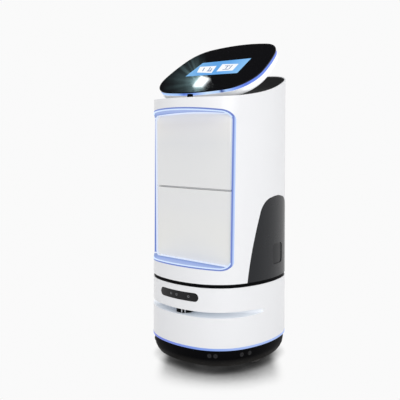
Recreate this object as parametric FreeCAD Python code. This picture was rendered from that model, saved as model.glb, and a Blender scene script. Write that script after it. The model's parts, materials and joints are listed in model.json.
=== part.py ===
import FreeCAD
import Part
import math
import os
from collections import namedtuple

# Indoor delivery robot with two cabins, in millimetres.
# The origin is on the floor under the middle of the body, -Y is the side with the doors,
# +X is the robot's left and +Z is up.

Vector = FreeCAD.Vector

# An oval outline of eight tangent arcs, the same on both sides of x = 0
Oval = namedtuple("Oval", "front_y rear_y half_width side_y front_r side_r rear_r "
                          "front_corner_r rear_corner_r")

# Body plan, measured at the foot of the upper shell
BODY_HALF_WIDTH = 225.0
BODY_HALF_DEPTH = 236.5
BODY_END_R = 330.0
BODY_SIDE_R = 360.0
BODY_CORNER_R = 175.0
BODY_DRAFT = 0.0086
BODY = Oval(-BODY_HALF_DEPTH, BODY_HALF_DEPTH, BODY_HALF_WIDTH, 0.0,
            BODY_END_R, BODY_SIDE_R, BODY_END_R, BODY_CORNER_R, BODY_CORNER_R)

# Gap at a seat, gap round a pin that turns, and gap round a moving piece
SEAT = 0.3
PIN_GAP = 0.05
CLEAR = 5.0

# How far a cutting shape runs past the face where it leaves the piece
PAST = 1.0

# Heights of the rings that make up the base
BUMPER_Z = 22.0
LIGHT_Z = BUMPER_Z + 60.0
BASE_Z = LIGHT_Z + 8.0
BAND_Z = BASE_Z + 206.5
SHELL_Z = BAND_Z + 12.5

# Bumper: its foot curves in, each section given as height above the foot and inset
BUMPER_INSET = 3.0
BUMPER_WIDTH = 19.0
BUMPER_SECTIONS = ((0.0, 20.0), (11.0, 12.0), (24.0, 6.0), (40.0, 3.5), (60.0, 3.0))

# Round sensors in the bumper and the cover under the base
SENSOR_R = 8.0
SENSOR_Z = LIGHT_Z - 19.0
SENSOR_DEPTH = 3.0
SENSOR_ANGLES = (-76.0, -69.0, -38.0, -31.0, 31.0, 38.0, 69.0, 76.0)
UNDER_COVER_Z = BUMPER_Z + 2.0
UNDER_COVER_THICKNESS = 6.0

# Light ring with the chassis plate inside it
RING_PROUD = 0.5
RING_WIDTH = 12.0

# Base shell, with the slot that the laser scanner looks out of
BASE_WALL = 5.0
SLOT_FLOOR_Z = BASE_Z + 104.0
SLOT_HEIGHT = 20.0
SLOT_DEPTH = 96.3
SLOT_END_Y = 216.5 - BODY_HALF_DEPTH
SLOT_END_PROUD = 1.2
SLOT_BEND_Y = SLOT_END_Y - 90.0
SLOT_TIP_Y = SLOT_END_Y + 30.0
SLOT_PLATE = 8.0
SCANNER_R = 30.0
SCANNER_X = 5.0
SCANNER_Y = 45.5 - BODY_HALF_DEPTH
SCANNER_EDGE_R = 2.0
SCANNER_HEAD_GAP = 1.0

# Black sensor window over the slot
WINDOW_X = 10.0
WINDOW_Z = BAND_Z - 35.5
WINDOW_HALF_WIDTH = 87.0
WINDOW_HEIGHT = 30.0
WINDOW_DEPTH = 2.5

# Charging contacts at the back of the base
CHARGE_Z = BASE_Z + 40.0
CHARGE_WIDTH = 96.0
CHARGE_HEIGHT = 40.0
CHARGE_FACE_Y = BODY_HALF_DEPTH - 1.0
CHARGE_DEPTH = 5.0
CONTACT_LENGTH = 60.0
CONTACT_HEIGHT = 7.0
CONTACT_PITCH = 18.0
CONTACT_PROUD = 1.0

# Band between base and upper shell
BAND_INSET = 2.5

# Drive wheels
DRIVE_R = 75.0
DRIVE_WIDTH = 40.0
DRIVE_X = BODY_HALF_WIDTH - 65.0
DRIVE_HUB_R = 55.0
DRIVE_AXLE_R = 6.0
DRIVE_BOSS_R = 12.0
DRIVE_DISH = 0.85
DRIVE_TYRE_EDGE_R = 6.0
TYRE_SEAT = 0.1
BRACKET_THICKNESS = 16.0
BRACKET_HALF_LENGTH = 30.0
BRACKET_DROP = 30.0
BRACKET_GAP = 8.0
WELL_GAP = 6.0

# Casters: the wheel trails behind its swivel pin
CASTER_X = BODY_HALF_WIDTH - 145.0
CASTER_Y = BODY_HALF_DEPTH - 96.5
CASTER_R = 30.0
CASTER_WIDTH = 22.0
CASTER_TRAIL = 14.0
CASTER_PIN_R = 6.0
CASTER_AXLE_R = 4.0
CASTER_ARM = 4.0
CASTER_ARM_HALF = 10.0
CASTER_CROWN = 6.0
CASTER_CROWN_R = 20.0
CASTER_PLATE = 56.0
CASTER_PLATE_THICKNESS = 5.0
CASTER_BOSS_R = 12.0
CASTER_HUB_R = 8.0
CASTER_WELL_R = 52.0

# Battery
BATTERY_WIDTH = 180.0
BATTERY_LENGTH = 160.0
BATTERY_HEIGHT = 80.0
BATTERY_Y = 10.0

# Doors, standing over the foot of the upper shell
DOOR_FACE_Y = 87.5 - BODY_HALF_DEPTH
DOOR_HALF_WIDTH = BODY_HALF_WIDTH - 50.5
DOOR_THICKNESS = 14.0
DOOR_CORNER_R = 18.0
DOOR_SEAM_CORNER_R = 3.0
DOOR_EDGE_R = 2.0
LOWER_DOOR_Z = SHELL_Z + 60.0
DOOR_SEAM_Z = LOWER_DOOR_Z + 254.0
DOOR_SEAM = 5.0
UPPER_DOOR_SHOULDER_Z = DOOR_SEAM_Z + 250.0
UPPER_DOOR_CROWN_Z = UPPER_DOOR_SHOULDER_Z + 9.0
HINGE_X = 6.0 - DOOR_HALF_WIDTH
HINGE_Y = DOOR_FACE_Y + 6.5
HINGE_PIN_R = 3.0
HINGE_PIN_REACH = 22.0
HINGE_PIN_ROOT = 14.0
HINGE_PLATE = 3.0
HINGE_PLATE_REACH = 19.0

# Pocket in the front, lined by the door light, which runs round the doors' sides as well
POCKET_SIDE_GAP = 8.5
POCKET_HALF_WIDTH = DOOR_HALF_WIDTH + POCKET_SIDE_GAP
POCKET_BOTTOM_Z = LOWER_DOOR_Z - 10.0
POCKET_SHOULDER_Z = UPPER_DOOR_SHOULDER_Z + POCKET_SIDE_GAP
POCKET_CROWN_Z = POCKET_SHOULDER_Z + 7.0
POCKET_CORNER_R = 26.0
POCKET_FLOOR_RISE = 0.103
POCKET_ROOF_RISE = 0.07
POCKET_MOUTH_Y = -BODY_HALF_DEPTH - 23.5
LINING = 7.0
LIGHT_BACK = 2.0
LIGHT_SIDE_BACK = 11.0

# Surround that carries doors, light and cabin linings
SURROUND_BACK_Y = DOOR_FACE_Y + 19.0
SURROUND_LOW_Z = LOWER_DOOR_Z - 29.0
DECK_LOW_Z = POCKET_CROWN_Z + 16.5

# Cabin linings
CABIN_HALF_WIDTH = DOOR_HALF_WIDTH - 24.5
CABIN_BACK_Y = BODY_HALF_DEPTH - 86.5
CABIN_WALL = 3.0
CABIN_STEP = 11.0
FLANGE_HALF_WIDTH = DOOR_HALF_WIDTH + 11.5
FLANGE_FOOT_Z = LOWER_DOOR_Z - 17.0
FLANGE_HEAD_Z = DECK_LOW_Z - 7.0
FLANGE_SEAM = 1.0

# Upper shell: its rim rises in an arc from the front and then straight to the back
WALL = 4.0
RIM_FRONT_Z = POCKET_CROWN_Z + 44.5
RIM_LOW_Y = 9.5 - BODY_HALF_DEPTH
RIM_R = 930.0
RIM_SLOPE = 18.4
SHELL_BLANK_Z = RIM_FRONT_Z + 142.0
REAR_COVER_Y = BODY_HALF_DEPTH - 23.5
REAR_COVER_GAP = 0.8

# Side panels: an arch on the shell's foot, each point as half width and height above it
ARCH_MID_Y = 55.0
ARCH_FOOT_HALF = 155.0
ARCH_FLANK_HALF = 129.0
ARCH_FLANK_Z = SHELL_Z + 136.0
ARCH_HIP_HALF = 100.0
ARCH_HIP_Z = SHELL_Z + 231.0
ARCH_KNEE_HALF = 75.0
ARCH_KNEE_Z = SHELL_Z + 269.0
ARCH_SHOULDER_HALF = 35.0
ARCH_SHOULDER_Z = SHELL_Z + 285.0
ARCH_TOP_Z = SHELL_Z + 289.0
RECESS_Y = 61.5
RECESS_Z = SHELL_Z + 82.5
RECESS_SIDE = 72.0
RECESS_CORNER_R = 14.0
RECESS_DEPTH = 2.0

# Black deck inside the rim
DECK_DROP = 1.5

# Head: a tilted tray with glass, light strip and a white bowl
HEAD_Y = -13.9
HEAD_Z = RIM_FRONT_Z + 116.8
HEAD_TILT = 35.8
HEAD_HALF_DEPTH = 160.0
HEAD_HALF_WIDTH = 229.5
HEAD_SIDE_Y = -56.8
HEAD_FRONT_R = 955.0
HEAD_SIDE_R = 441.0
HEAD_REAR_R = 599.0
HEAD_FRONT_CORNER_R = 103.0
HEAD_REAR_CORNER_R = 109.0
HEAD = Oval(-HEAD_HALF_DEPTH, HEAD_HALF_DEPTH, HEAD_HALF_WIDTH, HEAD_SIDE_Y,
            HEAD_FRONT_R, HEAD_SIDE_R, HEAD_REAR_R, HEAD_FRONT_CORNER_R, HEAD_REAR_CORNER_R)
GLASS = 4.0
HEAD_LIGHT = 10.0
HEAD_LIGHT_INSET = 1.0
HEAD_LIGHT_WIDTH = 12.0
# Depth below the head light, and inset, of each section of the bowl
BOWL_TOP = GLASS + HEAD_LIGHT
BOWL_HEIGHT = 36.0
BOWL_SECTIONS = ((0.0, 0.5), (14.0, 1.5), (23.0, 7.0), (30.0, 20.0), (BOWL_HEIGHT, 48.0))
NEST_GAP = 0.5
SCREEN_WIDTH = 230.0
SCREEN_DEPTH = 108.0
SCREEN_THICKNESS = 1.0
SCREEN_CORNER_R = 6.0
NECK_R = 55.0
NECK_Y = 15.0
NECK_FOOT_Z = DECK_LOW_Z + 10.0
CAMERA_HALF_WIDTH = 8.0
CAMERA_Y = 78.5 - BODY_HALF_DEPTH
CAMERA_DEPTH = 14.0
CAMERA_FOOT_Z = RIM_FRONT_Z - 3.0
CAMERA_HEIGHT = 14.0

# Longer than the whole body
FAR = 600.0


# Outlines and simple solids

def meet(centre_a, reach_a, centre_b, reach_b):
    """The point on the right that lies at the given reach from each of two centres."""
    span = centre_b - centre_a
    gap = span.Length
    unit = span * (1.0 / gap)
    along = (reach_a ** 2 - reach_b ** 2 + gap ** 2) / (2.0 * gap)
    across = math.sqrt(reach_a ** 2 - along ** 2)
    side = Vector(unit.y, -unit.x, 0) * across
    first = centre_a + unit * along + side
    second = centre_a + unit * along - side
    return first if first.x > second.x else second


def step_out(centre, towards, distance):
    """The point at a distance from a centre, in the direction of another point."""
    return centre + (towards - centre).normalize() * distance


def mirrored(point):
    return Vector(-point.x, point.y, point.z)


def oval_wire(oval, inset, z):
    """The oval moved in by an inset, lying flat at a height."""
    front = Vector(0, oval.front_y + oval.front_r, 0)
    side = Vector(oval.half_width - oval.side_r, oval.side_y, 0)
    rear = Vector(0, oval.rear_y - oval.rear_r, 0)
    front_corner = meet(front, oval.front_r - oval.front_corner_r,
                        side, oval.side_r - oval.front_corner_r)
    rear_corner = meet(side, oval.side_r - oval.rear_corner_r,
                       rear, oval.rear_r - oval.rear_corner_r)
    front_end = step_out(front, front_corner, oval.front_r - inset)
    side_start = step_out(side, front_corner, oval.side_r - inset)
    side_end = step_out(side, rear_corner, oval.side_r - inset)
    rear_end = step_out(rear, rear_corner, oval.rear_r - inset)
    front_bend = step_out(front_corner, (front_end + side_start) * 0.5,
                          oval.front_corner_r - inset)
    rear_bend = step_out(rear_corner, (side_end + rear_end) * 0.5,
                         oval.rear_corner_r - inset)
    side_middle = step_out(side, (side_start + side_end) * 0.5, oval.side_r - inset)
    right = [(front_end, front_bend, side_start), (side_start, side_middle, side_end),
             (side_end, rear_bend, rear_end)]
    left = [tuple(mirrored(point) for point in reversed(arc)) for arc in reversed(right)]
    front_arc = (mirrored(front_end), Vector(0, oval.front_y + inset, 0), front_end)
    rear_arc = (rear_end, Vector(0, oval.rear_y - inset, 0), mirrored(rear_end))
    arcs = [front_arc] + right + [rear_arc] + left
    wire = Part.Wire([Part.Arc(*arc).toShape() for arc in arcs])
    wire.translate(Vector(0, 0, z))
    return wire


def body(low, high, inset=0.0):
    """The drafted body between two heights, with its faces moved in by an inset."""
    wires = [oval_wire(BODY, inset + BODY_DRAFT * (z - SHELL_Z), z) for z in (low, high)]
    return Part.makeLoft(wires, True, True)


def block(low, high):
    """A box between two corners."""
    return Part.makeBox(high[0] - low[0], high[1] - low[1], high[2] - low[2], Vector(*low))


def rod(start, axis, length, radius):
    return Part.makeCylinder(radius, length, Vector(*start), Vector(*axis))


def edges_along(solid, axis):
    """The edges that leave their first point nearly parallel to an axis."""
    return [edge for edge in solid.Edges
            if abs(edge.tangentAt(edge.FirstParameter).dot(Vector(*axis))) > 0.9]


def door_wire(half_width, bottom, shoulder, crown, y):
    """An upright outline with a flat foot, straight sides and an arched or flat top."""
    foot_left = Vector(-half_width, y, bottom)
    foot_right = Vector(half_width, y, bottom)
    top_right = Vector(half_width, y, shoulder)
    top_left = Vector(-half_width, y, shoulder)
    top = Part.makeLine(top_right, top_left)
    if crown > shoulder:
        top = Part.Arc(top_right, Vector(0, y, crown), top_left).toShape()
    return Part.Wire([Part.makeLine(foot_left, foot_right), Part.makeLine(foot_right, top_right),
                      top, Part.makeLine(top_left, foot_left)])


def door_slab(half_width, bottom, shoulder, crown, front_y, back_y):
    """A flat panel with sharp corners between two planes across Y."""
    wire = door_wire(half_width, bottom, shoulder, crown, front_y)
    return Part.Face(wire).extrude(Vector(0, back_y - front_y, 0))


def round_corners(slab, foot_left, foot_right, head_left, head_right):
    """Rounds each corner of a door outline by its own radius."""
    middle = slab.BoundBox.Center.z
    for head, right, radius in ((False, False, foot_left), (False, True, foot_right),
                                (True, False, head_left), (True, True, head_right)):
        corner = [edge for edge in edges_along(slab, (0, 1, 0))
                  if (edge.BoundBox.Center.z > middle) == head
                  and (edge.BoundBox.Center.x > 0) == right]
        slab = slab.makeFillet(radius, corner)
    return slab


def pocket(margin, back_y):
    """The hollow in front of the doors, its floor and roof rising towards the mouth."""
    wires = []
    for y in (back_y, POCKET_MOUTH_Y):
        out = DOOR_FACE_Y - y
        bottom = POCKET_BOTTOM_Z - margin + POCKET_FLOOR_RISE * out
        lift = margin + POCKET_ROOF_RISE * out
        wires.append(door_wire(POCKET_HALF_WIDTH + margin, bottom,
                               POCKET_SHOULDER_Z + lift, POCKET_CROWN_Z + lift, y))
    hollow = Part.makeLoft(wires, True, True)
    return hollow.makeFillet(POCKET_CORNER_R + margin, edges_along(hollow, (0, 1, 0)))


def door_opening(front_y, back_y):
    """The hole that both doors close, with their running gap all round. Its corners on the
    hinge side are nearly square, because the doors turn through them."""
    slab = door_slab(DOOR_HALF_WIDTH + CLEAR, LOWER_DOOR_Z - CLEAR,
                     UPPER_DOOR_SHOULDER_Z + CLEAR, UPPER_DOOR_CROWN_Z + CLEAR, front_y, back_y)
    return round_corners(slab, CLEAR, DOOR_CORNER_R + CLEAR, CLEAR, DOOR_CORNER_R + CLEAR)


def light_hollow(grow):
    """The pocket with its lining, and beside the doors a deeper strip on each side."""
    margin = LINING - SEAT + grow
    hollow = pocket(margin, DOOR_FACE_Y + LIGHT_BACK + grow)
    deep = pocket(margin, DOOR_FACE_Y + LIGHT_SIDE_BACK + grow)
    reach = DOOR_HALF_WIDTH + CLEAR - grow
    between = block((-reach, -FAR, SHELL_Z), (reach, FAR, SHELL_BLANK_Z))
    return hollow.fuse(deep.cut(between))


def above_rim(drop):
    """Everything above the curved rim, lowered by a drop."""
    def on_rim(turn):
        reach = RIM_R + drop
        return Vector(-FAR, RIM_LOW_Y + reach * math.sin(turn),
                      RIM_FRONT_Z + RIM_R - reach * math.cos(turn))
    slope = math.radians(RIM_SLOPE)
    low = on_rim(0.0)
    bend = on_rim(slope)
    back = bend + Vector(0, math.cos(slope), math.sin(slope)) * FAR
    sky = Vector(0, 0, FAR)
    front = Vector(-FAR, -FAR, low.z)
    profile = [Part.makeLine(front, low), Part.Arc(low, on_rim(slope / 2), bend).toShape(),
               Part.makeLine(bend, back), Part.makeLine(back, back + sky),
               Part.makeLine(back + sky, front + sky), Part.makeLine(front + sky, front)]
    return Part.Face(Part.Wire(profile)).extrude(Vector(2 * FAR, 0, 0))


def on_head(shape):
    """Tilts a shape drawn flat round the glass's middle and lifts it to the head."""
    shape.rotate(Vector(0, 0, 0), Vector(1, 0, 0), HEAD_TILT)
    shape.translate(Vector(0, HEAD_Y, HEAD_Z))
    return shape


def head_layer(sections):
    """A solid through head outlines, each given as depth below the glass face and inset."""
    return Part.makeLoft([oval_wire(HEAD, inset, -depth) for depth, inset in sections],
                         True, True)


# Base

def bumper():
    outer = Part.makeLoft([oval_wire(BODY, inset, BUMPER_Z + rise)
                           for rise, inset in BUMPER_SECTIONS], True, True)
    inner_wire = oval_wire(BODY, BUMPER_INSET + BUMPER_WIDTH, BUMPER_Z)
    ring = outer.cut(Part.Face(inner_wire).extrude(Vector(0, 0, LIGHT_Z - BUMPER_Z)))
    for angle in SENSOR_ANGLES:
        ring = ring.cut(sensor_rod(angle, SENSOR_R + SEAT, SENSOR_DEPTH, CLEAR))
    return ring


def sensor_rod(angle, radius, depth, proud):
    """A short rod square to the bumper's corner, where the wall faces the given angle."""
    turn = math.radians(angle)
    outward = Vector(math.sin(turn), -math.cos(turn), 0)
    right = angle > 0
    front = Vector(0, BODY_END_R - BODY_HALF_DEPTH, 0)
    side = Vector(BODY_HALF_WIDTH - BODY_SIDE_R, 0, 0)
    centre = meet(front, BODY_END_R - BODY_CORNER_R, side, BODY_SIDE_R - BODY_CORNER_R)
    radius_out = BODY_CORNER_R
    if abs(outward.x * (BODY_SIDE_R - BODY_CORNER_R)) > centre.x - side.x:
        centre = side
        radius_out = BODY_SIDE_R
    centre = centre if right else mirrored(centre)
    start = centre + outward * (radius_out - BUMPER_INSET - depth)
    return rod((start.x, start.y, SENSOR_Z), outward, depth + proud, radius)


def bumper_sensors():
    return Part.makeCompound([sensor_rod(angle, SENSOR_R, SENSOR_DEPTH, SEAT)
                              for angle in SENSOR_ANGLES])


def base_light():
    return body(LIGHT_Z, BASE_Z, -RING_PROUD).cut(body(LIGHT_Z, BASE_Z, RING_WIDTH))


def drive_well(low, high, side):
    """The hole over a drive wheel and its boss, between two heights."""
    inner = DRIVE_X - DRIVE_WIDTH / 2 - BRACKET_GAP - CLEAR
    outer = DRIVE_X + DRIVE_WIDTH / 2 + WELL_GAP
    reach = DRIVE_R + WELL_GAP
    if side < 0:
        return block((-outer, -reach, low), (-inner, reach, high))
    return block((inner, -reach, low), (outer, reach, high))


def chassis_plate():
    plate = body(LIGHT_Z, BASE_Z, RING_WIDTH + SEAT)
    for side in (-1, 1):
        plate = plate.cut(drive_well(LIGHT_Z - PAST, BASE_Z + PAST, side))
    return plate


def under_cover():
    wire = oval_wire(BODY, BUMPER_INSET + BUMPER_WIDTH + SEAT, UNDER_COVER_Z)
    cover = Part.Face(wire).extrude(Vector(0, 0, UNDER_COVER_THICKNESS))
    top = UNDER_COVER_Z + UNDER_COVER_THICKNESS
    for side in (-1, 1):
        cover = cover.cut(drive_well(UNDER_COVER_Z - PAST, top + PAST, side))
        for end in (-1, 1):
            well = rod((side * CASTER_X, end * CASTER_Y, UNDER_COVER_Z - PAST), (0, 0, 1),
                       UNDER_COVER_THICKNESS + 2 * PAST, CASTER_WELL_R)
            cover = cover.cut(well)
    return cover


def slot():
    """The scanner's slot: deep in front, running out on each side of the base."""
    roof_z = SLOT_FLOOR_Z + SLOT_HEIGHT
    tip_z = SLOT_FLOOR_Z + SLOT_HEIGHT / 2
    quarter_y = (SLOT_BEND_Y + SLOT_TIP_Y) / 2
    mouth_low = Vector(-FAR, POCKET_MOUTH_Y, SLOT_FLOOR_Z)
    bend_low = Vector(-FAR, SLOT_BEND_Y, SLOT_FLOOR_Z)
    tip = Vector(-FAR, SLOT_TIP_Y, tip_z)
    bend_high = Vector(-FAR, SLOT_BEND_Y, roof_z)
    mouth_high = Vector(-FAR, POCKET_MOUTH_Y, roof_z)
    sag = SLOT_HEIGHT / 8
    low_arc = Part.Arc(bend_low, Vector(-FAR, quarter_y, SLOT_FLOOR_Z + sag), tip).toShape()
    high_arc = Part.Arc(tip, Vector(-FAR, quarter_y, roof_z - sag), bend_high).toShape()
    profile = Part.Wire([Part.makeLine(mouth_low, bend_low), low_arc, high_arc,
                         Part.makeLine(bend_high, mouth_high),
                         Part.makeLine(mouth_high, mouth_low)])
    band = Part.Face(profile).extrude(Vector(2 * FAR, 0, 0))
    back_y = SLOT_DEPTH - BODY_HALF_DEPTH
    end_x = BODY_HALF_WIDTH + SLOT_END_PROUD
    core_y = (back_y ** 2 - end_x ** 2 - SLOT_END_Y ** 2) / (2 * (back_y - SLOT_END_Y))
    core = rod((0, core_y, SLOT_FLOOR_Z - SLOT_HEIGHT), (0, 0, 1),
               3 * SLOT_HEIGHT, core_y - back_y)
    return band.cut(core)


def window_prism(margin):
    """The sensor window's outline, a flat oval, run through the front of the base."""
    radius = WINDOW_HEIGHT / 2 + margin
    half = WINDOW_HALF_WIDTH - WINDOW_HEIGHT / 2
    left_x = WINDOW_X - half
    right_x = WINDOW_X + half
    bar = block((left_x, POCKET_MOUTH_Y, WINDOW_Z - radius), (right_x, 0, WINDOW_Z + radius))
    length = -POCKET_MOUTH_Y
    left = rod((left_x, POCKET_MOUTH_Y, WINDOW_Z), (0, 1, 0), length, radius)
    right = rod((right_x, POCKET_MOUTH_Y, WINDOW_Z), (0, 1, 0), length, radius)
    return bar.fuse([left, right]).removeSplitter()


def base_shell():
    outer = body(BASE_Z, BAND_Z)
    cavity = body(BASE_Z, BAND_Z, BASE_WALL)
    shelf = block((-FAR, -FAR, SLOT_FLOOR_Z - SLOT_PLATE),
                  (FAR, 0, SLOT_FLOOR_Z + SLOT_HEIGHT + SLOT_PLATE))
    shell = outer.cut(cavity.cut(shelf)).cut(slot())
    window = window_prism(0.0).cut(body(BASE_Z, BAND_Z, WINDOW_DEPTH))
    return shell.cut(window).cut(charge_block(0.0))


def sensor_window():
    pane = body(BASE_Z, BAND_Z, SEAT).cut(body(BASE_Z, BAND_Z, WINDOW_DEPTH))
    return pane.common(window_prism(-SEAT))


def laser_scanner():
    height = SLOT_HEIGHT - SCANNER_HEAD_GAP
    puck = rod((SCANNER_X, SCANNER_Y, SLOT_FLOOR_Z), (0, 0, 1), height, SCANNER_R)
    top = [edge for edge in puck.Edges if edge.BoundBox.ZMin > SLOT_FLOOR_Z + height / 2]
    return puck.makeFillet(SCANNER_EDGE_R, top)


def charge_block(shrink):
    half = CHARGE_WIDTH / 2 - shrink
    half_height = CHARGE_HEIGHT / 2 - shrink
    back = FAR if shrink == 0 else CHARGE_FACE_Y
    return block((-half, CHARGE_FACE_Y - CHARGE_DEPTH, CHARGE_Z - half_height),
                 (half, back, CHARGE_Z + half_height))


def charge_contacts():
    strips = []
    for place in (-0.5, 0.5):
        z = CHARGE_Z + place * CONTACT_PITCH
        strips.append(block(
            (-CONTACT_LENGTH / 2, CHARGE_FACE_Y, z - CONTACT_HEIGHT / 2),
            (CONTACT_LENGTH / 2, CHARGE_FACE_Y + CONTACT_PROUD, z + CONTACT_HEIGHT / 2)))
    return Part.makeCompound(strips)


def middle_deck():
    return body(BAND_Z, SHELL_Z, BAND_INSET)


def battery():
    return block((-BATTERY_WIDTH / 2, BATTERY_Y - BATTERY_LENGTH / 2, BASE_Z),
                 (BATTERY_WIDTH / 2, BATTERY_Y + BATTERY_LENGTH / 2, BASE_Z + BATTERY_HEIGHT))


# Wheels

def drive_bracket(side):
    """A block under the chassis plate with the fixed axle of a hub motor."""
    outer = DRIVE_X - DRIVE_WIDTH / 2 - BRACKET_GAP
    inner = outer - BRACKET_THICKNESS
    axle_end = DRIVE_X + DRIVE_WIDTH / 2 - BRACKET_GAP / 2
    low_x = min(side * inner, side * outer)
    plate = block((low_x, -BRACKET_HALF_LENGTH, DRIVE_R - BRACKET_DROP),
                  (low_x + BRACKET_THICKNESS, BRACKET_HALF_LENGTH, LIGHT_Z))
    axle = rod((side * inner, 0, DRIVE_R), (side, 0, 0), axle_end - inner, DRIVE_AXLE_R)
    return plate.fuse(axle)


def drive_hub(side):
    inner = DRIVE_X - DRIVE_WIDTH / 2
    boss_start = inner - BRACKET_GAP + SEAT
    rim_r = DRIVE_HUB_R - TYRE_SEAT
    hub = rod((side * inner, 0, DRIVE_R), (side, 0, 0), DRIVE_WIDTH, rim_r)
    boss = rod((side * boss_start, 0, DRIVE_R), (side, 0, 0), DRIVE_WIDTH / 2, DRIVE_BOSS_R)
    dish = rod((side * inner, 0, DRIVE_R), (side, 0, 0), DRIVE_WIDTH / 4, rim_r * DRIVE_DISH)
    axle_end = DRIVE_X + DRIVE_WIDTH / 2 - BRACKET_GAP / 2 + SEAT
    bore = rod((side * boss_start, 0, DRIVE_R), (side, 0, 0), axle_end - boss_start,
               DRIVE_AXLE_R + PIN_GAP)
    return hub.cut(dish).fuse(boss).cut(bore)


def rim_edges(tread):
    """The two round edges of a wheel that lies along X."""
    return [edge for edge in tread.Edges if edge.BoundBox.XLength < SEAT]


def drive_tyre(side):
    start = side * (DRIVE_X - DRIVE_WIDTH / 2)
    tread = rod((start, 0, DRIVE_R), (side, 0, 0), DRIVE_WIDTH, DRIVE_R)
    tread = tread.makeFillet(DRIVE_TYRE_EDGE_R, rim_edges(tread))
    return tread.cut(rod((start, 0, DRIVE_R), (side, 0, 0), DRIVE_WIDTH, DRIVE_HUB_R))


def caster_mount():
    half = CASTER_PLATE / 2
    plate_low = LIGHT_Z - CASTER_PLATE_THICKNESS
    crown_top = plate_low - CLEAR
    plate = block((-half, -half, plate_low), (half, half, LIGHT_Z))
    boss = rod((0, 0, crown_top + SEAT), (0, 0, 1), CLEAR - SEAT, CASTER_BOSS_R)
    pin = rod((0, 0, crown_top - CASTER_CROWN), (0, 0, 1), CASTER_CROWN + CLEAR, CASTER_PIN_R)
    return plate.fuse([boss, pin])


def caster_fork():
    crown_top = LIGHT_Z - CASTER_PLATE_THICKNESS - CLEAR
    crown_low = crown_top - CASTER_CROWN
    arm_in = CASTER_WIDTH / 2 + CLEAR
    arm_out = arm_in + CASTER_ARM
    crown = rod((0, 0, crown_low), (0, 0, 1), CASTER_CROWN, CASTER_CROWN_R)
    tail = block((-arm_out, 0, crown_low), (arm_out, CASTER_TRAIL + CASTER_ARM_HALF, crown_top))
    pieces = [tail]
    for low, high in ((-arm_out, -arm_in), (arm_in, arm_out)):
        pieces.append(block((low, CASTER_TRAIL - CASTER_ARM_HALF, CASTER_R),
                            (high, CASTER_TRAIL + CASTER_ARM_HALF, crown_top)))
        pieces.append(rod((low, CASTER_TRAIL, CASTER_R), (1, 0, 0), CASTER_ARM,
                          CASTER_ARM_HALF))
    pieces.append(rod((-arm_out, CASTER_TRAIL, CASTER_R), (1, 0, 0), 2 * arm_out,
                      CASTER_AXLE_R))
    hole = rod((0, 0, crown_low), (0, 0, 1), CASTER_CROWN, CASTER_PIN_R + PIN_GAP)
    return crown.fuse(pieces).cut(hole).removeSplitter()


def caster_wheel():
    half = CASTER_WIDTH / 2
    hub_half = half + CLEAR - SEAT
    tread = rod((-half, CASTER_TRAIL, CASTER_R), (1, 0, 0), CASTER_WIDTH, CASTER_R)
    tread = tread.makeFillet(half / 2, rim_edges(tread))
    hub = rod((-hub_half, CASTER_TRAIL, CASTER_R), (1, 0, 0), 2 * hub_half, CASTER_HUB_R)
    bore = rod((-hub_half, CASTER_TRAIL, CASTER_R), (1, 0, 0), 2 * hub_half,
               CASTER_AXLE_R + PIN_GAP)
    return tread.fuse(hub).cut(bore)


# Upper body

def shell_wall():
    """The whole upper wall, open at the foot and cut to the curved rim."""
    wall = body(SHELL_Z, SHELL_BLANK_Z).cut(body(SHELL_Z, SHELL_BLANK_Z, WALL))
    return wall.cut(above_rim(0.0))


def arch_prism(margin):
    """The side panels' arch, run across the whole body and grown by a margin."""
    def place(half, z):
        return (Vector(-FAR, ARCH_MID_Y - half - margin, z),
                Vector(-FAR, ARCH_MID_Y + half + margin, z))
    foot = place(ARCH_FOOT_HALF, SHELL_Z)
    flank = place(ARCH_FLANK_HALF, ARCH_FLANK_Z)
    hip = place(ARCH_HIP_HALF, ARCH_HIP_Z)
    knee = place(ARCH_KNEE_HALF, ARCH_KNEE_Z + margin)
    shoulder = place(ARCH_SHOULDER_HALF, ARCH_SHOULDER_Z + margin)
    top = Vector(-FAR, ARCH_MID_Y, ARCH_TOP_Z + margin)
    edges = [Part.makeLine(foot[1], foot[0])]
    edges.append(Part.Arc(foot[0], flank[0], hip[0]).toShape())
    edges.append(Part.Arc(hip[0], knee[0], shoulder[0]).toShape())
    edges.append(Part.Arc(shoulder[0], top, shoulder[1]).toShape())
    edges.append(Part.Arc(shoulder[1], knee[1], hip[1]).toShape())
    edges.append(Part.Arc(hip[1], flank[1], foot[1]).toShape())
    return Part.Face(Part.Wire(edges)).extrude(Vector(2 * FAR, 0, 0))


def behind(y):
    return block((-FAR, y, SHELL_Z - PAST), (FAR, FAR, SHELL_BLANK_Z + PAST))


def upper_shell(wall):
    return wall.cut(behind(REAR_COVER_Y)).cut(light_hollow(SEAT)).cut(arch_prism(SEAT))


def rear_cover(wall):
    return wall.common(behind(REAR_COVER_Y + REAR_COVER_GAP))


def side_panel(wall, side):
    half_space = block((0, -FAR, SHELL_Z), (FAR, FAR, SHELL_BLANK_Z))
    if side < 0:
        half_space = half_space.mirror(Vector(0, 0, 0), Vector(1, 0, 0))
    half = RECESS_SIDE / 2
    recess = block((-FAR, RECESS_Y - half, RECESS_Z - half),
                   (FAR, RECESS_Y + half, RECESS_Z + half))
    recess = recess.makeFillet(RECESS_CORNER_R, edges_along(recess, (1, 0, 0)))
    recess = recess.cut(body(SHELL_Z, BAND_Z + FAR, RECESS_DEPTH))
    return wall.common(arch_prism(0.0)).common(half_space).cut(recess)


def door_light():
    """Lining of the pocket: lit ledge and roof, and a ring round the doors."""
    lining = light_hollow(0.0).cut(pocket(0.0, DOOR_FACE_Y))
    ring_gap = door_opening(DOOR_FACE_Y - PAST, DOOR_FACE_Y + LIGHT_SIDE_BACK + PAST)
    return lining.cut(ring_gap).common(body(SHELL_Z, DECK_LOW_Z + CLEAR))


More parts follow.
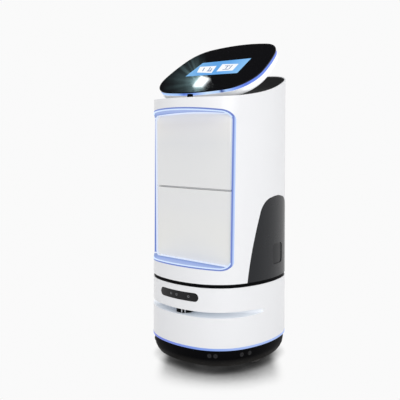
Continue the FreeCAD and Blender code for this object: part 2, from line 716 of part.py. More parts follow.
def door_surround():
    slab = block((-FAR, DOOR_FACE_Y + LIGHT_BACK, SURROUND_LOW_Z),
                 (FAR, SURROUND_BACK_Y, DECK_LOW_Z))
    slab = slab.common(body(SHELL_Z, SHELL_BLANK_Z, WALL + SEAT)).cut(light_hollow(0.0))
    slab = slab.cut(door_opening(DOOR_FACE_Y, SURROUND_BACK_Y + PAST))
    pin_r = HINGE_PIN_R + PIN_GAP
    for low, high in ((foot_pin_z()[0], LOWER_DOOR_Z), (UPPER_DOOR_SHOULDER_Z, head_pin_z()[1])):
        slab = slab.cut(rod((HINGE_X, HINGE_Y, low), (0, 0, 1), high - low, pin_r))
    return slab


def foot_pin_z():
    return (LOWER_DOOR_Z - HINGE_PIN_ROOT, LOWER_DOOR_Z + HINGE_PIN_REACH)


def head_pin_z():
    return (UPPER_DOOR_SHOULDER_Z - HINGE_PIN_REACH, UPPER_DOOR_SHOULDER_Z + HINGE_PIN_ROOT)


def seam_pin_z():
    return (DOOR_SEAM_Z - HINGE_PIN_REACH, DOOR_SEAM_Z + HINGE_PIN_REACH)


def hinge_pin(span, radius):
    return rod((HINGE_X, HINGE_Y, span[0]), (0, 0, 1), span[1] - span[0], radius)


def door_hinges():
    """A pin under the lower door, one over the upper door and a plate in the seam."""
    left = -DOOR_HALF_WIDTH - CLEAR
    plate = block((left, DOOR_FACE_Y + LIGHT_BACK, DOOR_SEAM_Z - HINGE_PLATE / 2),
                  (left + HINGE_PLATE_REACH, SURROUND_BACK_Y, DOOR_SEAM_Z + HINGE_PLATE / 2))
    middle = plate.fuse(hinge_pin(seam_pin_z(), HINGE_PIN_R))
    return Part.makeCompound([hinge_pin(foot_pin_z(), HINGE_PIN_R), middle,
                              hinge_pin(head_pin_z(), HINGE_PIN_R)])


def door(bottom, shoulder, crown, foot_r, head_r, pins):
    slab = door_slab(DOOR_HALF_WIDTH, bottom, shoulder, crown,
                     DOOR_FACE_Y, DOOR_FACE_Y + DOOR_THICKNESS)
    slab = round_corners(slab, foot_r, foot_r, head_r, head_r)
    face = [edge for edge in slab.Edges if edge.BoundBox.YMax < DOOR_FACE_Y + DOOR_EDGE_R]
    slab = slab.makeFillet(DOOR_EDGE_R, face)
    for span in pins:
        reach = (span[0] - SEAT, span[1] + SEAT)
        slab = slab.cut(hinge_pin(reach, HINGE_PIN_R + PIN_GAP))
    return slab


def lower_door():
    top = DOOR_SEAM_Z - DOOR_SEAM / 2
    return door(LOWER_DOOR_Z, top, top, DOOR_CORNER_R, DOOR_SEAM_CORNER_R,
                (foot_pin_z(), seam_pin_z()))


def upper_door():
    return door(DOOR_SEAM_Z + DOOR_SEAM / 2, UPPER_DOOR_SHOULDER_Z, UPPER_DOOR_CROWN_Z,
                DOOR_SEAM_CORNER_R, DOOR_CORNER_R, (seam_pin_z(), head_pin_z()))


def cabin_lining(floor, ceiling, flange_foot, flange_head):
    """An open box with a flange round its mouth."""
    mouth = SURROUND_BACK_Y
    outside = block((-CABIN_HALF_WIDTH - CABIN_WALL, mouth, floor - CABIN_WALL),
                    (CABIN_HALF_WIDTH + CABIN_WALL, CABIN_BACK_Y + CABIN_WALL,
                     ceiling + CABIN_WALL))
    flange = block((-FLANGE_HALF_WIDTH, mouth, flange_foot),
                   (FLANGE_HALF_WIDTH, mouth + CABIN_WALL, flange_head))
    inside = block((-CABIN_HALF_WIDTH, mouth - PAST, floor),
                   (CABIN_HALF_WIDTH, CABIN_BACK_Y, ceiling))
    return outside.fuse(flange).cut(inside)


def lower_cabin():
    return cabin_lining(LOWER_DOOR_Z + CABIN_STEP, DOOR_SEAM_Z - CABIN_STEP,
                        FLANGE_FOOT_Z, DOOR_SEAM_Z - FLANGE_SEAM)


def upper_cabin():
    return cabin_lining(DOOR_SEAM_Z + CABIN_STEP, UPPER_DOOR_SHOULDER_Z - CABIN_STEP,
                        DOOR_SEAM_Z + FLANGE_SEAM, FLANGE_HEAD_Z)


# Top deck and head

def bowl(grow):
    """The white underside of the head, with its outer faces moved out by a growth."""
    sections = [(BOWL_TOP, BOWL_SECTIONS[0][1] - grow)]
    for depth, inset in BOWL_SECTIONS[1:]:
        sections.append((BOWL_TOP + depth + grow, inset - grow))
    return on_head(head_layer(sections))


def neck(grow):
    height = HEAD_Z + NECK_R - NECK_FOOT_Z
    column = rod((0, NECK_Y, NECK_FOOT_Z), (0, 0, 1), height, NECK_R + grow)
    over = on_head(block((-FAR, -FAR, -BOWL_TOP - BOWL_HEIGHT), (FAR, FAR, FAR)))
    return column.cut(over)


def camera_block():
    return block((-CAMERA_HALF_WIDTH, CAMERA_Y - CAMERA_DEPTH / 2, CAMERA_FOOT_Z),
                 (CAMERA_HALF_WIDTH, CAMERA_Y + CAMERA_DEPTH / 2, CAMERA_FOOT_Z + CAMERA_HEIGHT))


def top_deck():
    deck = body(DECK_LOW_Z, SHELL_BLANK_Z, WALL + SEAT).cut(above_rim(DECK_DROP))
    return deck.cut(bowl(NEST_GAP)).cut(neck(SEAT)).cut(camera_block())


def screen_block(shrink, thickness):
    plate = block((-SCREEN_WIDTH / 2 + shrink, -SCREEN_DEPTH / 2 + shrink, -SCREEN_THICKNESS),
                  (SCREEN_WIDTH / 2 - shrink, SCREEN_DEPTH / 2 - shrink,
                   thickness - SCREEN_THICKNESS))
    return plate.makeFillet(SCREEN_CORNER_R, edges_along(plate, (0, 0, 1)))


def head_glass():
    glass = head_layer([(0.0, 0.0), (GLASS, 0.0)])
    return on_head(glass.cut(screen_block(0.0, GLASS)))


def display():
    return on_head(screen_block(SEAT, SCREEN_THICKNESS))


def head_light():
    depths = (GLASS, GLASS + HEAD_LIGHT)
    outer = head_layer([(depth, HEAD_LIGHT_INSET) for depth in depths])
    inner = head_layer([(depth, HEAD_LIGHT_INSET + HEAD_LIGHT_WIDTH) for depth in depths])
    return on_head(outer.cut(inner))


def head_shell():
    depths = (GLASS, GLASS + HEAD_LIGHT)
    inset = HEAD_LIGHT_INSET + HEAD_LIGHT_WIDTH + SEAT
    plug = on_head(head_layer([(depth, inset) for depth in depths]))
    return plug.fuse(bowl(0.0)).removeSplitter()


def place(shape, x, y):
    moved = shape.copy()
    moved.translate(Vector(x, y, 0))
    return moved


wall = shell_wall()
nodes = {
    "bumper": bumper(),
    "bumper_sensors": bumper_sensors(),
    "under_cover": under_cover(),
    "base_light": base_light(),
    "chassis_plate": chassis_plate(),
    "battery": battery(),
    "base_shell": base_shell(),
    "sensor_window": sensor_window(),
    "laser_scanner": laser_scanner(),
    "charge_block": charge_block(SEAT),
    "charge_contacts": charge_contacts(),
    "middle_deck": middle_deck(),
    "upper_shell": upper_shell(wall),
    "rear_cover": rear_cover(wall),
    "side_panel_left": side_panel(wall, 1),
    "side_panel_right": side_panel(wall, -1),
    "door_light": door_light(),
    "door_surround": door_surround(),
    "door_hinges": door_hinges(),
    "lower_door": lower_door(),
    "upper_door": upper_door(),
    "lower_cabin": lower_cabin(),
    "upper_cabin": upper_cabin(),
    "top_deck": top_deck(),
    "head_neck": neck(0.0),
    "head_shell": head_shell(),
    "head_light": head_light(),
    "head_glass": head_glass(),
    "display": display(),
    "head_camera": camera_block(),
}

for side_name, side in (("left", 1), ("right", -1)):
    nodes["drive_bracket_" + side_name] = drive_bracket(side)
    nodes["drive_hub_" + side_name] = drive_hub(side)
    nodes["drive_tyre_" + side_name] = drive_tyre(side)
    for end_name, end in (("front", -1), ("rear", 1)):
        corner = end_name + "_" + side_name
        x = side * CASTER_X
        y = end * CASTER_Y
        nodes["caster_mount_" + corner] = place(caster_mount(), x, y)
        nodes["caster_fork_" + corner] = place(caster_fork(), x, y)
        nodes["caster_wheel_" + corner] = place(caster_wheel(), x, y)

os.makedirs("parts", exist_ok=True)
for name, shape in nodes.items():
    shape.exportStep(os.path.join("parts", name + ".step"))
    box = shape.BoundBox
    print(name, len(shape.Solids), "solid", shape.isValid(), round(shape.Volume / 1000.0, 1),
          "cm3", "z", round(box.ZMin, 1), round(box.ZMax, 1))
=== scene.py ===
import json
import math

import bpy
from mathutils import Matrix, Vector

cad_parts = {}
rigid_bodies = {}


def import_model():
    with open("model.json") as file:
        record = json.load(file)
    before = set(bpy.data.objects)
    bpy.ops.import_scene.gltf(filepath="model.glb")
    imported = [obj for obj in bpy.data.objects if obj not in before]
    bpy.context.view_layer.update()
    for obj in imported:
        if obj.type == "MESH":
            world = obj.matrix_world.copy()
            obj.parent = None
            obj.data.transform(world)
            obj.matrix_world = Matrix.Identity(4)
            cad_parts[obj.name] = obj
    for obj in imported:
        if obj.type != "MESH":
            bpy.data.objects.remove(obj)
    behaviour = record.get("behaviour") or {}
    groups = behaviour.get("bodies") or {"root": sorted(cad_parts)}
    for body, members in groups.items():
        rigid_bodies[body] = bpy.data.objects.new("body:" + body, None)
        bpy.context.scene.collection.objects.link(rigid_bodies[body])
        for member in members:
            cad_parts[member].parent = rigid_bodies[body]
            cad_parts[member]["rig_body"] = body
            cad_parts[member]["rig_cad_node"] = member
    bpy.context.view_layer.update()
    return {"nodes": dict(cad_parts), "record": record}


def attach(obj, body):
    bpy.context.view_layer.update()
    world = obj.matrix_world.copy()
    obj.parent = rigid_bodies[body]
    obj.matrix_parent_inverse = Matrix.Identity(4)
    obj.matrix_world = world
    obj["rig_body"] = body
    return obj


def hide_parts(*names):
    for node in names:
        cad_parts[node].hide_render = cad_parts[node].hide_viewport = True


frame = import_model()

scene = bpy.context.scene
scene.view_settings.view_transform = "Standard"

# Camera
# It stands a little over two metres from the robot, at chest height, off its front left
# corner, and looks slightly down.
CAMERA_TURN = math.radians(40.55)
CAMERA_REACH = 2.3198
CAMERA_HEIGHT = 0.7972
CAMERA_HEADING = math.radians(42.34)
CAMERA_PITCH = math.radians(5.575)
CAMERA_LENS = 56.9
bpy.ops.object.camera_add(
    location=(CAMERA_REACH * math.sin(CAMERA_TURN), -CAMERA_REACH * math.cos(CAMERA_TURN),
              CAMERA_HEIGHT),
    rotation=(math.pi / 2 - CAMERA_PITCH, 0, CAMERA_HEADING))
scene.camera = bpy.context.object
scene.camera.data.lens = CAMERA_LENS
scene.camera.data.sensor_width = 36.0

# Light
# A plain studio: a pale room that fills from all sides, a large soft lamp at the right front,
# a weaker one at the left front and a wide one overhead. Right and left are the camera's.
ROOM_FILL = 0.87
PAPER = 0.955
world = bpy.data.worlds.new("pale room")
scene.world = world
world.use_nodes = True
room = world.node_tree.nodes
room_links = world.node_tree.links
room_fill = room["Background"]
room_fill.inputs["Color"].default_value = (0.985, 0.985, 1.0, 1)
room_fill.inputs["Strength"].default_value = ROOM_FILL
room_seen = room.new("ShaderNodeBackground")
room_place = room.new("ShaderNodeTexCoord")
room_split = room.new("ShaderNodeSeparateXYZ")
room_height = room.new("ShaderNodeMapRange")
room_height.inputs["From Min"].default_value = 0.22
room_height.inputs["From Max"].default_value = 0.60
room_height.inputs["To Min"].default_value = PAPER
room_height.inputs["To Max"].default_value = 0.03
room_links.new(room_place.outputs["Generated"], room_split.inputs["Vector"])
room_links.new(room_split.outputs["Z"], room_height.inputs["Value"])
room_links.new(room_height.outputs["Result"], room_seen.inputs["Color"])


def seen_directly(nodes, links):
    """One for rays from the camera, from mirrors and through glass, and zero for the rest."""
    path = nodes.new("ShaderNodeLightPath")
    sight = nodes.new("ShaderNodeMath")
    sight.operation = "MAXIMUM"
    glint = nodes.new("ShaderNodeMath")
    glint.operation = "MAXIMUM"
    links.new(path.outputs["Is Camera Ray"], sight.inputs[0])
    links.new(path.outputs["Is Glossy Ray"], sight.inputs[1])
    links.new(sight.outputs[0], glint.inputs[0])
    links.new(path.outputs["Is Transmission Ray"], glint.inputs[1])
    return glint.outputs[0]


room_mix = room.new("ShaderNodeMixShader")
room_links.new(seen_directly(room, room_links), room_mix.inputs["Fac"])
room_links.new(room_fill.outputs["Background"], room_mix.inputs[1])
room_links.new(room_seen.outputs["Background"], room_mix.inputs[2])
room_links.new(room_mix.outputs["Shader"], room["World Output"].inputs["Surface"])


def soft_lamp(name, place, aim, width, height, power, colour=(1, 1, 1)):
    """A large rectangular lamp at a place, turned towards a point."""
    turn = (Vector(aim) - Vector(place)).to_track_quat("-Z", "Y").to_euler()
    bpy.ops.object.light_add(type="AREA", location=place, rotation=turn)
    lamp = bpy.context.object
    lamp.name = name
    lamp.data.shape = "RECTANGLE"
    lamp.data.size = width
    lamp.data.size_y = height
    lamp.data.energy = power
    lamp.data.color = colour
    return lamp


soft_lamp("right lamp", (3.0, -1.7, 1.5), (0, 0, 0.6), 2.0, 2.6, 38)
soft_lamp("left lamp", (-2.2, -3.2, 1.6), (0, 0, 0.6), 2.0, 2.4, 6)
soft_lamp("top lamp", (0.4, -0.6, 3.4), (0, 0, 0.6), 1.8, 1.8, 12)

# Painted reflection of glare
# A small bright spot with a blue green haze and faint rays is seen in mirrors only and lights
# nothing: it is a painted reflection of glare in the head's glass. Its middle and its two
# directions are those that the head's glass turns towards the camera.
GLARE = Vector((-0.990, 0.372, 2.005))
GLARE_RIGHT = Vector((0.006976, -0.0001, 0.00129))
GLARE_DOWN = Vector((0.00548, -0.00836, -0.00351))
GLASS_MIDDLE = Vector((0.01, -0.097, 0.99))
RAYS_MEET = (-5.0, -1.0, 0.0)
HAZE_REACH = 44.0


def glare_sheet(name, corners, lift):
    """A sheet with four corners given as steps to the right and down from the glare's middle.
    """
    bpy.ops.object.select_all(action="DESELECT")
    bpy.ops.mesh.primitive_plane_add(size=1, location=(0, 0, 0))
    sheet = bpy.context.object
    sheet.name = name
    towards = GLASS_MIDDLE - GLARE
    for vertex, (right, down) in zip(sheet.data.vertices, corners):
        vertex.co = GLARE + GLARE_RIGHT * right + GLARE_DOWN * down + towards * lift
    return sheet


def seen_in_mirrors(material, colour_socket):
    """Makes a material that glows for mirror rays and is clear for all others."""
    nodes = material.node_tree.nodes
    link = material.node_tree.links.new
    shine = nodes.new("ShaderNodeEmission")
    clear = nodes.new("ShaderNodeBsdfTransparent")
    path = nodes.new("ShaderNodeLightPath")
    both = nodes.new("ShaderNodeAddShader")
    mix = nodes.new("ShaderNodeMixShader")
    link(colour_socket, shine.inputs["Color"])
    link(shine.outputs["Emission"], both.inputs[0])
    link(clear.outputs["BSDF"], both.inputs[1])
    link(path.outputs["Is Glossy Ray"], mix.inputs["Fac"])
    link(clear.outputs["BSDF"], mix.inputs[1])
    link(both.outputs["Shader"], mix.inputs[2])
    link(mix.outputs["Shader"], nodes["Material Output"].inputs["Surface"])


def glare_look(name, steps, tint, streaks):
    """A painted glare: a glow that fades with the distance from its middle, with rays that fan
    out from it.
    """
    material = bpy.data.materials.new(name)
    material.use_nodes = True
    nodes = material.node_tree.nodes
    link = material.node_tree.links.new
    nodes.remove(nodes["Principled BSDF"])
    place = nodes.new("ShaderNodeTexCoord")
    offset = nodes.new("ShaderNodeVectorMath")
    offset.operation = "SUBTRACT"
    offset.inputs[1].default_value = GLARE
    link(place.outputs["Object"], offset.inputs[0])
    right_2 = GLARE_RIGHT.dot(GLARE_RIGHT)
    cross = GLARE_RIGHT.dot(GLARE_DOWN)
    down_2 = GLARE_DOWN.dot(GLARE_DOWN)
    scale = 1 / (right_2 * down_2 - cross * cross)
    steps_right = (down_2 * GLARE_RIGHT - cross * GLARE_DOWN) * scale
    steps_down = (right_2 * GLARE_DOWN - cross * GLARE_RIGHT) * scale
    pair = nodes.new("ShaderNodeCombineXYZ")
    for socket, direction in zip(("X", "Y"), (steps_right, steps_down)):
        along = nodes.new("ShaderNodeVectorMath")
        along.operation = "DOT_PRODUCT"
        along.inputs[1].default_value = direction
        link(offset.outputs["Vector"], along.inputs[0])
        link(along.outputs["Value"], pair.inputs[socket])
    centre = nodes.new("ShaderNodeVectorMath")
    centre.operation = "SUBTRACT"
    centre.inputs[1].default_value = RAYS_MEET
    link(pair.outputs["Vector"], centre.inputs[0])
    reach = nodes.new("ShaderNodeVectorMath")
    reach.operation = "LENGTH"
    link(centre.outputs["Vector"], reach.inputs[0])
    fade = nodes.new("ShaderNodeMapRange")
    fade.inputs["From Max"].default_value = HAZE_REACH
    link(reach.outputs["Value"], fade.inputs["Value"])
    ramp = nodes.new("ShaderNodeValToRGB")
    while len(ramp.color_ramp.elements) < len(steps):
        ramp.color_ramp.elements.new(0.5)
    for mark, (position, tone) in zip(ramp.color_ramp.elements, steps):
        mark.position = position
        mark.color = tuple(tone * share for share in tint) + (1,)
    link(fade.outputs["Result"], ramp.inputs["Fac"])
    heading = nodes.new("ShaderNodeVectorMath")
    heading.operation = "NORMALIZE"
    link(centre.outputs["Vector"], heading.inputs[0])
    fan = nodes.new("ShaderNodeTexNoise")
    fan.inputs["Scale"].default_value = 7.0
    fan.inputs["Detail"].default_value = 2.0
    link(heading.outputs["Vector"], fan.inputs["Vector"])
    rays = nodes.new("ShaderNodeMapRange")
    rays.inputs["From Min"].default_value = 0.42
    rays.inputs["From Max"].default_value = 0.66
    rays.inputs["To Min"].default_value = 1.0 - streaks
    rays.inputs["To Max"].default_value = 1.0 + streaks
    link(fan.outputs["Fac"], rays.inputs["Value"])
    split = nodes.new("ShaderNodeSeparateXYZ")
    link(centre.outputs["Vector"], split.inputs["Vector"])
    side = nodes.new("ShaderNodeMapRange")
    side.inputs["From Min"].default_value = 8.0
    side.inputs["From Max"].default_value = -3.0
    link(split.outputs["X"], side.inputs["Value"])
    strength = nodes.new("ShaderNodeMath")
    strength.operation = "MULTIPLY"
    link(rays.outputs["Result"], strength.inputs[0])
    link(side.outputs["Result"], strength.inputs[1])
    shown = nodes.new("ShaderNodeVectorMath")
    shown.operation = "SCALE"
    link(ramp.outputs["Color"], shown.inputs[0])
    link(strength.outputs["Value"], shown.inputs["Scale"])
    seen_in_mirrors(material, shown.outputs["Vector"])
    return material


# Painted reflection: the spot and its haze glow for mirror rays only.
glare_reflection_sheet = glare_sheet("painted_glare_reflection", ((-11.5, 3.4), (-1.6, 3.0), (-3.0, -7.4),
                                            (6.2, -5.0)), 0.02)
glare_reflection_look = bpy.data.materials.new("painted glare reflection")
glare_reflection_look.use_nodes = True
glare_reflection_look.node_tree.nodes.remove(glare_reflection_look.node_tree.nodes["Principled BSDF"])
glare_reflection_white = glare_reflection_look.node_tree.nodes.new("ShaderNodeRGB")
glare_reflection_white.outputs[0].default_value = (11.0, 11.6, 11.8, 1)
seen_in_mirrors(glare_reflection_look, glare_reflection_white.outputs[0])
glare_reflection_sheet.data.materials.append(glare_reflection_look)
haze_reflection_sheet = glare_sheet("painted_haze_reflection", ((-62, 26), (14, 26), (-62, -34), (14, -34)), 0.0)
haze_reflection_sheet.data.materials.append(glare_look(
    "painted haze reflection", ((0.0, 7.5), (0.10, 4.2), (0.20, 1.7), (0.34, 0.62), (0.60, 0.16),
                      (0.86, 0.0)),
    (0.58, 0.95, 1.0), 0.65))

# Floor
# A pale sheet that runs out of sight. For the camera and in mirrors it glows, with painted
# shade:
# the glow darkens where the robot stands close over it, by the occlusion of nearby parts, and
# the shade is leaned and cut off beside the robot so that it falls towards the camera.
FLOOR_SIZE = 40
SHADE_REACH = 0.23
SHADE_LEAN = (-0.55, 0.63, 0.55)
SHADE_STEPS = ((0.0, 0.004), (0.30, 0.045), (0.42, 0.15), (0.54, 0.38), (0.66, 0.76),
               (0.78, PAPER))
TOUCH_REACH = 0.045
TOUCH_STEPS = ((0.40, 0.50), (0.85, 1.0))
SHADE_SIDE_FULL = 0.178
SHADE_SIDE_GONE = 0.230
bpy.ops.object.select_all(action="DESELECT")
bpy.ops.mesh.primitive_plane_add(size=FLOOR_SIZE, location=(0, 0, 0))
floor = bpy.context.object
floor.name = "studio_floor"
sheet = bpy.data.materials.new("pale sheet")
sheet.use_nodes = True
sheet_nodes = sheet.node_tree.nodes
sheet_links = sheet.node_tree.links
sheet_matt = sheet_nodes["Principled BSDF"]
sheet_matt.inputs["Base Color"].default_value = (0.62, 0.62, 0.62, 1)
sheet_matt.inputs["Roughness"].default_value = 0.9
sheet_shade = sheet_nodes.new("ShaderNodeAmbientOcclusion")
sheet_shade.samples = 24
sheet_shade.inputs["Distance"].default_value = SHADE_REACH
sheet_lean = sheet_nodes.new("ShaderNodeCombineXYZ")
for socket, part in zip(sheet_lean.inputs, SHADE_LEAN):
    socket.default_value = part
sheet_links.new(sheet_lean.outputs["Vector"], sheet_shade.inputs["Normal"])
sheet_tone = sheet_nodes.new("ShaderNodeValToRGB")
while len(sheet_tone.color_ramp.elements) < len(SHADE_STEPS):
    sheet_tone.color_ramp.elements.new(0.5)
for mark, (position, tone) in zip(sheet_tone.color_ramp.elements, SHADE_STEPS):
    mark.position = position
    mark.color = (tone, tone, tone, 1)
sheet_touch = sheet_nodes.new("ShaderNodeAmbientOcclusion")
sheet_touch.samples = 16
sheet_touch.inputs["Distance"].default_value = TOUCH_REACH
touch_tone = sheet_nodes.new("ShaderNodeValToRGB")
for mark, (position, tone) in zip(touch_tone.color_ramp.elements, TOUCH_STEPS):
    mark.position = position
    mark.color = (tone, tone, tone, 1)
sheet_place = sheet_nodes.new("ShaderNodeTexCoord")
sheet_across = sheet_nodes.new("ShaderNodeVectorMath")
sheet_across.operation = "DOT_PRODUCT"
sheet_across.inputs[1].default_value = (math.cos(CAMERA_TURN), math.sin(CAMERA_TURN), 0)
sheet_aside = sheet_nodes.new("ShaderNodeMath")
sheet_aside.operation = "ABSOLUTE"
sheet_edge = sheet_nodes.new("ShaderNodeMapRange")
sheet_edge.interpolation_type = "SMOOTHSTEP"
sheet_edge.inputs["From Min"].default_value = SHADE_SIDE_FULL
sheet_edge.inputs["From Max"].default_value = SHADE_SIDE_GONE
sheet_clear = sheet_nodes.new("ShaderNodeMixRGB")
sheet_clear.inputs["Color2"].default_value = (PAPER, PAPER, PAPER, 1)
sheet_links.new(sheet_place.outputs["Object"], sheet_across.inputs[0])
sheet_links.new(sheet_across.outputs["Value"], sheet_aside.inputs[0])
sheet_links.new(sheet_aside.outputs["Value"], sheet_edge.inputs["Value"])
sheet_links.new(sheet_edge.outputs["Result"], sheet_clear.inputs["Fac"])
sheet_links.new(sheet_tone.outputs["Color"], sheet_clear.inputs["Color1"])
both_tones = sheet_nodes.new("ShaderNodeMixRGB")
both_tones.blend_type = "MULTIPLY"
both_tones.inputs["Fac"].default_value = 1.0
sheet_links.new(sheet_touch.outputs["AO"], touch_tone.inputs["Fac"])
sheet_links.new(sheet_clear.outputs["Color"], both_tones.inputs["Color1"])
sheet_links.new(touch_tone.outputs["Color"], both_tones.inputs["Color2"])
# Painted shadow: the shaded tone is shown as a glow to the camera and in mirrors.
painted_shade_glow = sheet_nodes.new("ShaderNodeEmission")
sheet_mix = sheet_nodes.new("ShaderNodeMixShader")
sheet_links.new(sheet_shade.outputs["AO"], sheet_tone.inputs["Fac"])
sheet_links.new(both_tones.outputs["Color"], painted_shade_glow.inputs["Color"])
sheet_links.new(seen_directly(sheet_nodes, sheet_links), sheet_mix.inputs["Fac"])
sheet_links.new(sheet_matt.outputs["BSDF"], sheet_mix.inputs[1])
sheet_links.new(painted_shade_glow.outputs["Emission"], sheet_mix.inputs[2])
sheet_links.new(sheet_mix.outputs["Shader"], sheet_nodes["Material Output"].inputs["Surface"])
floor.data.materials.append(sheet)

# Bumper, under cover and chassis
# The lowest ring of the body is black moulded plastic with a rounded foot. The under cover
# closes it from below, and the steel chassis plate lies on it.


def surface_group():
    """Shader group: slow drift of tone and gloss, fine grain, and dust that rises from the
    floor."""
    group = bpy.data.node_groups.new("made surface", "ShaderNodeTree")
    face = group.interface
    face.new_socket(name="Color", in_out="INPUT", socket_type="NodeSocketColor")
    for name in ("Drift", "Roughness", "Spread", "Grain Scale", "Dust Height"):
        face.new_socket(name=name, in_out="INPUT", socket_type="NodeSocketFloat")
    face.new_socket(name="Color", in_out="OUTPUT", socket_type="NodeSocketColor")
    face.new_socket(name="Roughness", in_out="OUTPUT", socket_type="NodeSocketFloat")
    face.new_socket(name="Height", in_out="OUTPUT", socket_type="NodeSocketFloat")
    nodes = group.nodes
    link = group.links.new
    enter = nodes.new("NodeGroupInput")
    leave = nodes.new("NodeGroupOutput")
    place = nodes.new("ShaderNodeTexCoord")
    slow = nodes.new("ShaderNodeTexNoise")
    slow.inputs["Scale"].default_value = 5.0
    slow.inputs["Detail"].default_value = 5.0
    grain = nodes.new("ShaderNodeTexNoise")
    grain.inputs["Detail"].default_value = 3.0
    link(place.outputs["Object"], slow.inputs["Vector"])
    link(place.outputs["Object"], grain.inputs["Vector"])
    link(enter.outputs["Grain Scale"], grain.inputs["Scale"])

    def math_node(operation, first, second):
        """One sum, difference or product of two sockets or numbers."""
        node = nodes.new("ShaderNodeMath")
        node.operation = operation
        for socket, value in zip(node.inputs, (first, second)):
            if isinstance(value, (int, float)):
                socket.default_value = value
            else:
                link(value, socket)
        return node.outputs[0]

    centred = math_node("SUBTRACT", slow.outputs["Fac"], 0.5)
    tone = math_node("ADD", math_node("MULTIPLY", centred, enter.outputs["Drift"]), 1.0)
    shade = nodes.new("ShaderNodeMixRGB")
    shade.blend_type = "MULTIPLY"
    shade.inputs["Fac"].default_value = 1.0
    link(enter.outputs["Color"], shade.inputs["Color1"])
    link(tone, shade.inputs["Color2"])
    split = nodes.new("ShaderNodeSeparateXYZ")
    link(place.outputs["Object"], split.inputs["Vector"])
    rise = nodes.new("ShaderNodeMapRange")
    rise.inputs["From Min"].default_value = 0.0
    rise.inputs["To Min"].default_value = 0.22
    rise.inputs["To Max"].default_value = 0.0
    link(split.outputs["Z"], rise.inputs["Value"])
    link(enter.outputs["Dust Height"], rise.inputs["From Max"])
    dust = math_node("MULTIPLY", rise.outputs["Result"], slow.outputs["Fac"])
    dusty = nodes.new("ShaderNodeMixRGB")
    dusty.inputs["Color2"].default_value = (0.42, 0.40, 0.37, 1)
    link(dust, dusty.inputs["Fac"])
    link(shade.outputs["Color"], dusty.inputs["Color1"])
    link(dusty.outputs["Color"], leave.inputs["Color"])
    gloss = math_node("MULTIPLY", centred, enter.outputs["Spread"])
    link(math_node("ADD", enter.outputs["Roughness"], gloss), leave.inputs["Roughness"])
    link(grain.outputs["Fac"], leave.inputs["Height"])
    return group


made_surface = surface_group()


def finish(name, colour, roughness, drift=0.04, spread=0.08, grain=900.0, depth=0.00003,
           dust=0.05, metallic=0.0, coat=0.0, specular=0.5):
    """A material with the made surface's drift, grain and dust over one base colour."""
    material = bpy.data.materials.new(name)
    material.use_nodes = True
    nodes = material.node_tree.nodes
    link = material.node_tree.links.new
    shader = nodes["Principled BSDF"]
    shader.inputs["Metallic"].default_value = metallic
    shader.inputs["Coat Weight"].default_value = coat
    shader.inputs["Coat Roughness"].default_value = 0.08
    shader.inputs["Specular IOR Level"].default_value = specular
    surface = nodes.new("ShaderNodeGroup")
    surface.node_tree = made_surface
    surface.inputs["Color"].default_value = (*colour, 1)
    surface.inputs["Drift"].default_value = drift
    surface.inputs["Roughness"].default_value = roughness
    surface.inputs["Spread"].default_value = spread
    surface.inputs["Grain Scale"].default_value = grain
    surface.inputs["Dust Height"].default_value = dust
    bump = nodes.new("ShaderNodeBump")
    bump.inputs["Strength"].default_value = 1.0
    bump.inputs["Distance"].default_value = depth
    link(surface.outputs["Color"], shader.inputs["Base Color"])
    link(surface.outputs["Roughness"], shader.inputs["Roughness"])
    link(surface.outputs["Height"], bump.inputs["Height"])
    link(bump.outputs["Normal"], shader.inputs["Normal"])
    return material


def select_only(piece):
    """Selects one piece and makes it the active one."""
    bpy.ops.object.select_all(action="DESELECT")
    piece.select_set(True)
    bpy.context.view_layer.objects.active = piece


def apply_modifier(piece, kind, **settings):
    """Adds a modifier with its settings and applies it."""
    select_only(piece)
    modifier = piece.modifiers.new(kind.lower(), kind)
    for name, value in settings.items():
        setattr(modifier, name, value)
    bpy.ops.object.modifier_apply(modifier=modifier.name)


def finished(node, material, edge=0.0, smooth=30.0):
    """The node's shape as a merged mesh with softly broken edges, in place of the node."""
    source = frame["nodes"][node]
    piece = source.copy()
    piece.data = source.data.copy()
    piece.name = node + "_finished"
    piece.data.name = piece.name
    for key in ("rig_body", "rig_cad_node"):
        if key in piece:
            del piece[key]
    piece.parent = None
    bpy.context.collection.objects.link(piece)
    select_only(piece)
    bpy.ops.mesh.customdata_custom_splitnormals_clear()
    bpy.ops.object.mode_set(mode="EDIT")
    bpy.ops.mesh.select_all(action="SELECT")
    bpy.ops.mesh.remove_doubles(threshold=0.00001)
    bpy.ops.mesh.dissolve_limited(angle_limit=math.radians(0.1))
    bpy.ops.object.mode_set(mode="OBJECT")
    if edge:
        apply_modifier(piece, "BEVEL", width=edge, segments=2, limit_method="ANGLE",
                       angle_limit=math.radians(40), use_clamp_overlap=True,
                       harden_normals=False)
    select_only(piece)
    bpy.ops.object.shade_smooth_by_angle(angle=math.radians(smooth))
    apply_modifier(piece, "WEIGHTED_NORMAL", keep_sharp=True, weight=80)
    piece.data.materials.clear()
    piece.data.materials.append(material)
    body = [name for name, members in frame["record"]["behaviour"]["bodies"].items()
            if node in members][0]
    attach(piece, body)
    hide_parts(node)
    return piece


def paint_faces(piece, material, chosen):
    """Gives a second material to the faces that the chooser picks by middle and direction."""
    piece.data.materials.append(material)
    index = len(piece.data.materials) - 1
    for face in piece.data.polygons:
        if chosen(face.center, face.normal):
            face.material_index = index


def settle(piece, name, material, body, smooth=30.0):
    """Names an added piece, fixes its place, and puts it on its body and material slot."""
    piece.name = name
    piece.data.name = name
    select_only(piece)
    bpy.ops.object.transform_apply(location=True, rotation=True, scale=True)
    bpy.ops.object.shade_smooth_by_angle(angle=math.radians(smooth))
    piece.data.materials.clear()
    piece.data.materials.append(material)
    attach(piece, body)
    return piece


def fix(piece):
    """Applies the piece's place, turn and size to its mesh."""
    select_only(piece)
    bpy.ops.object.transform_apply(location=True, rotation=True, scale=True)


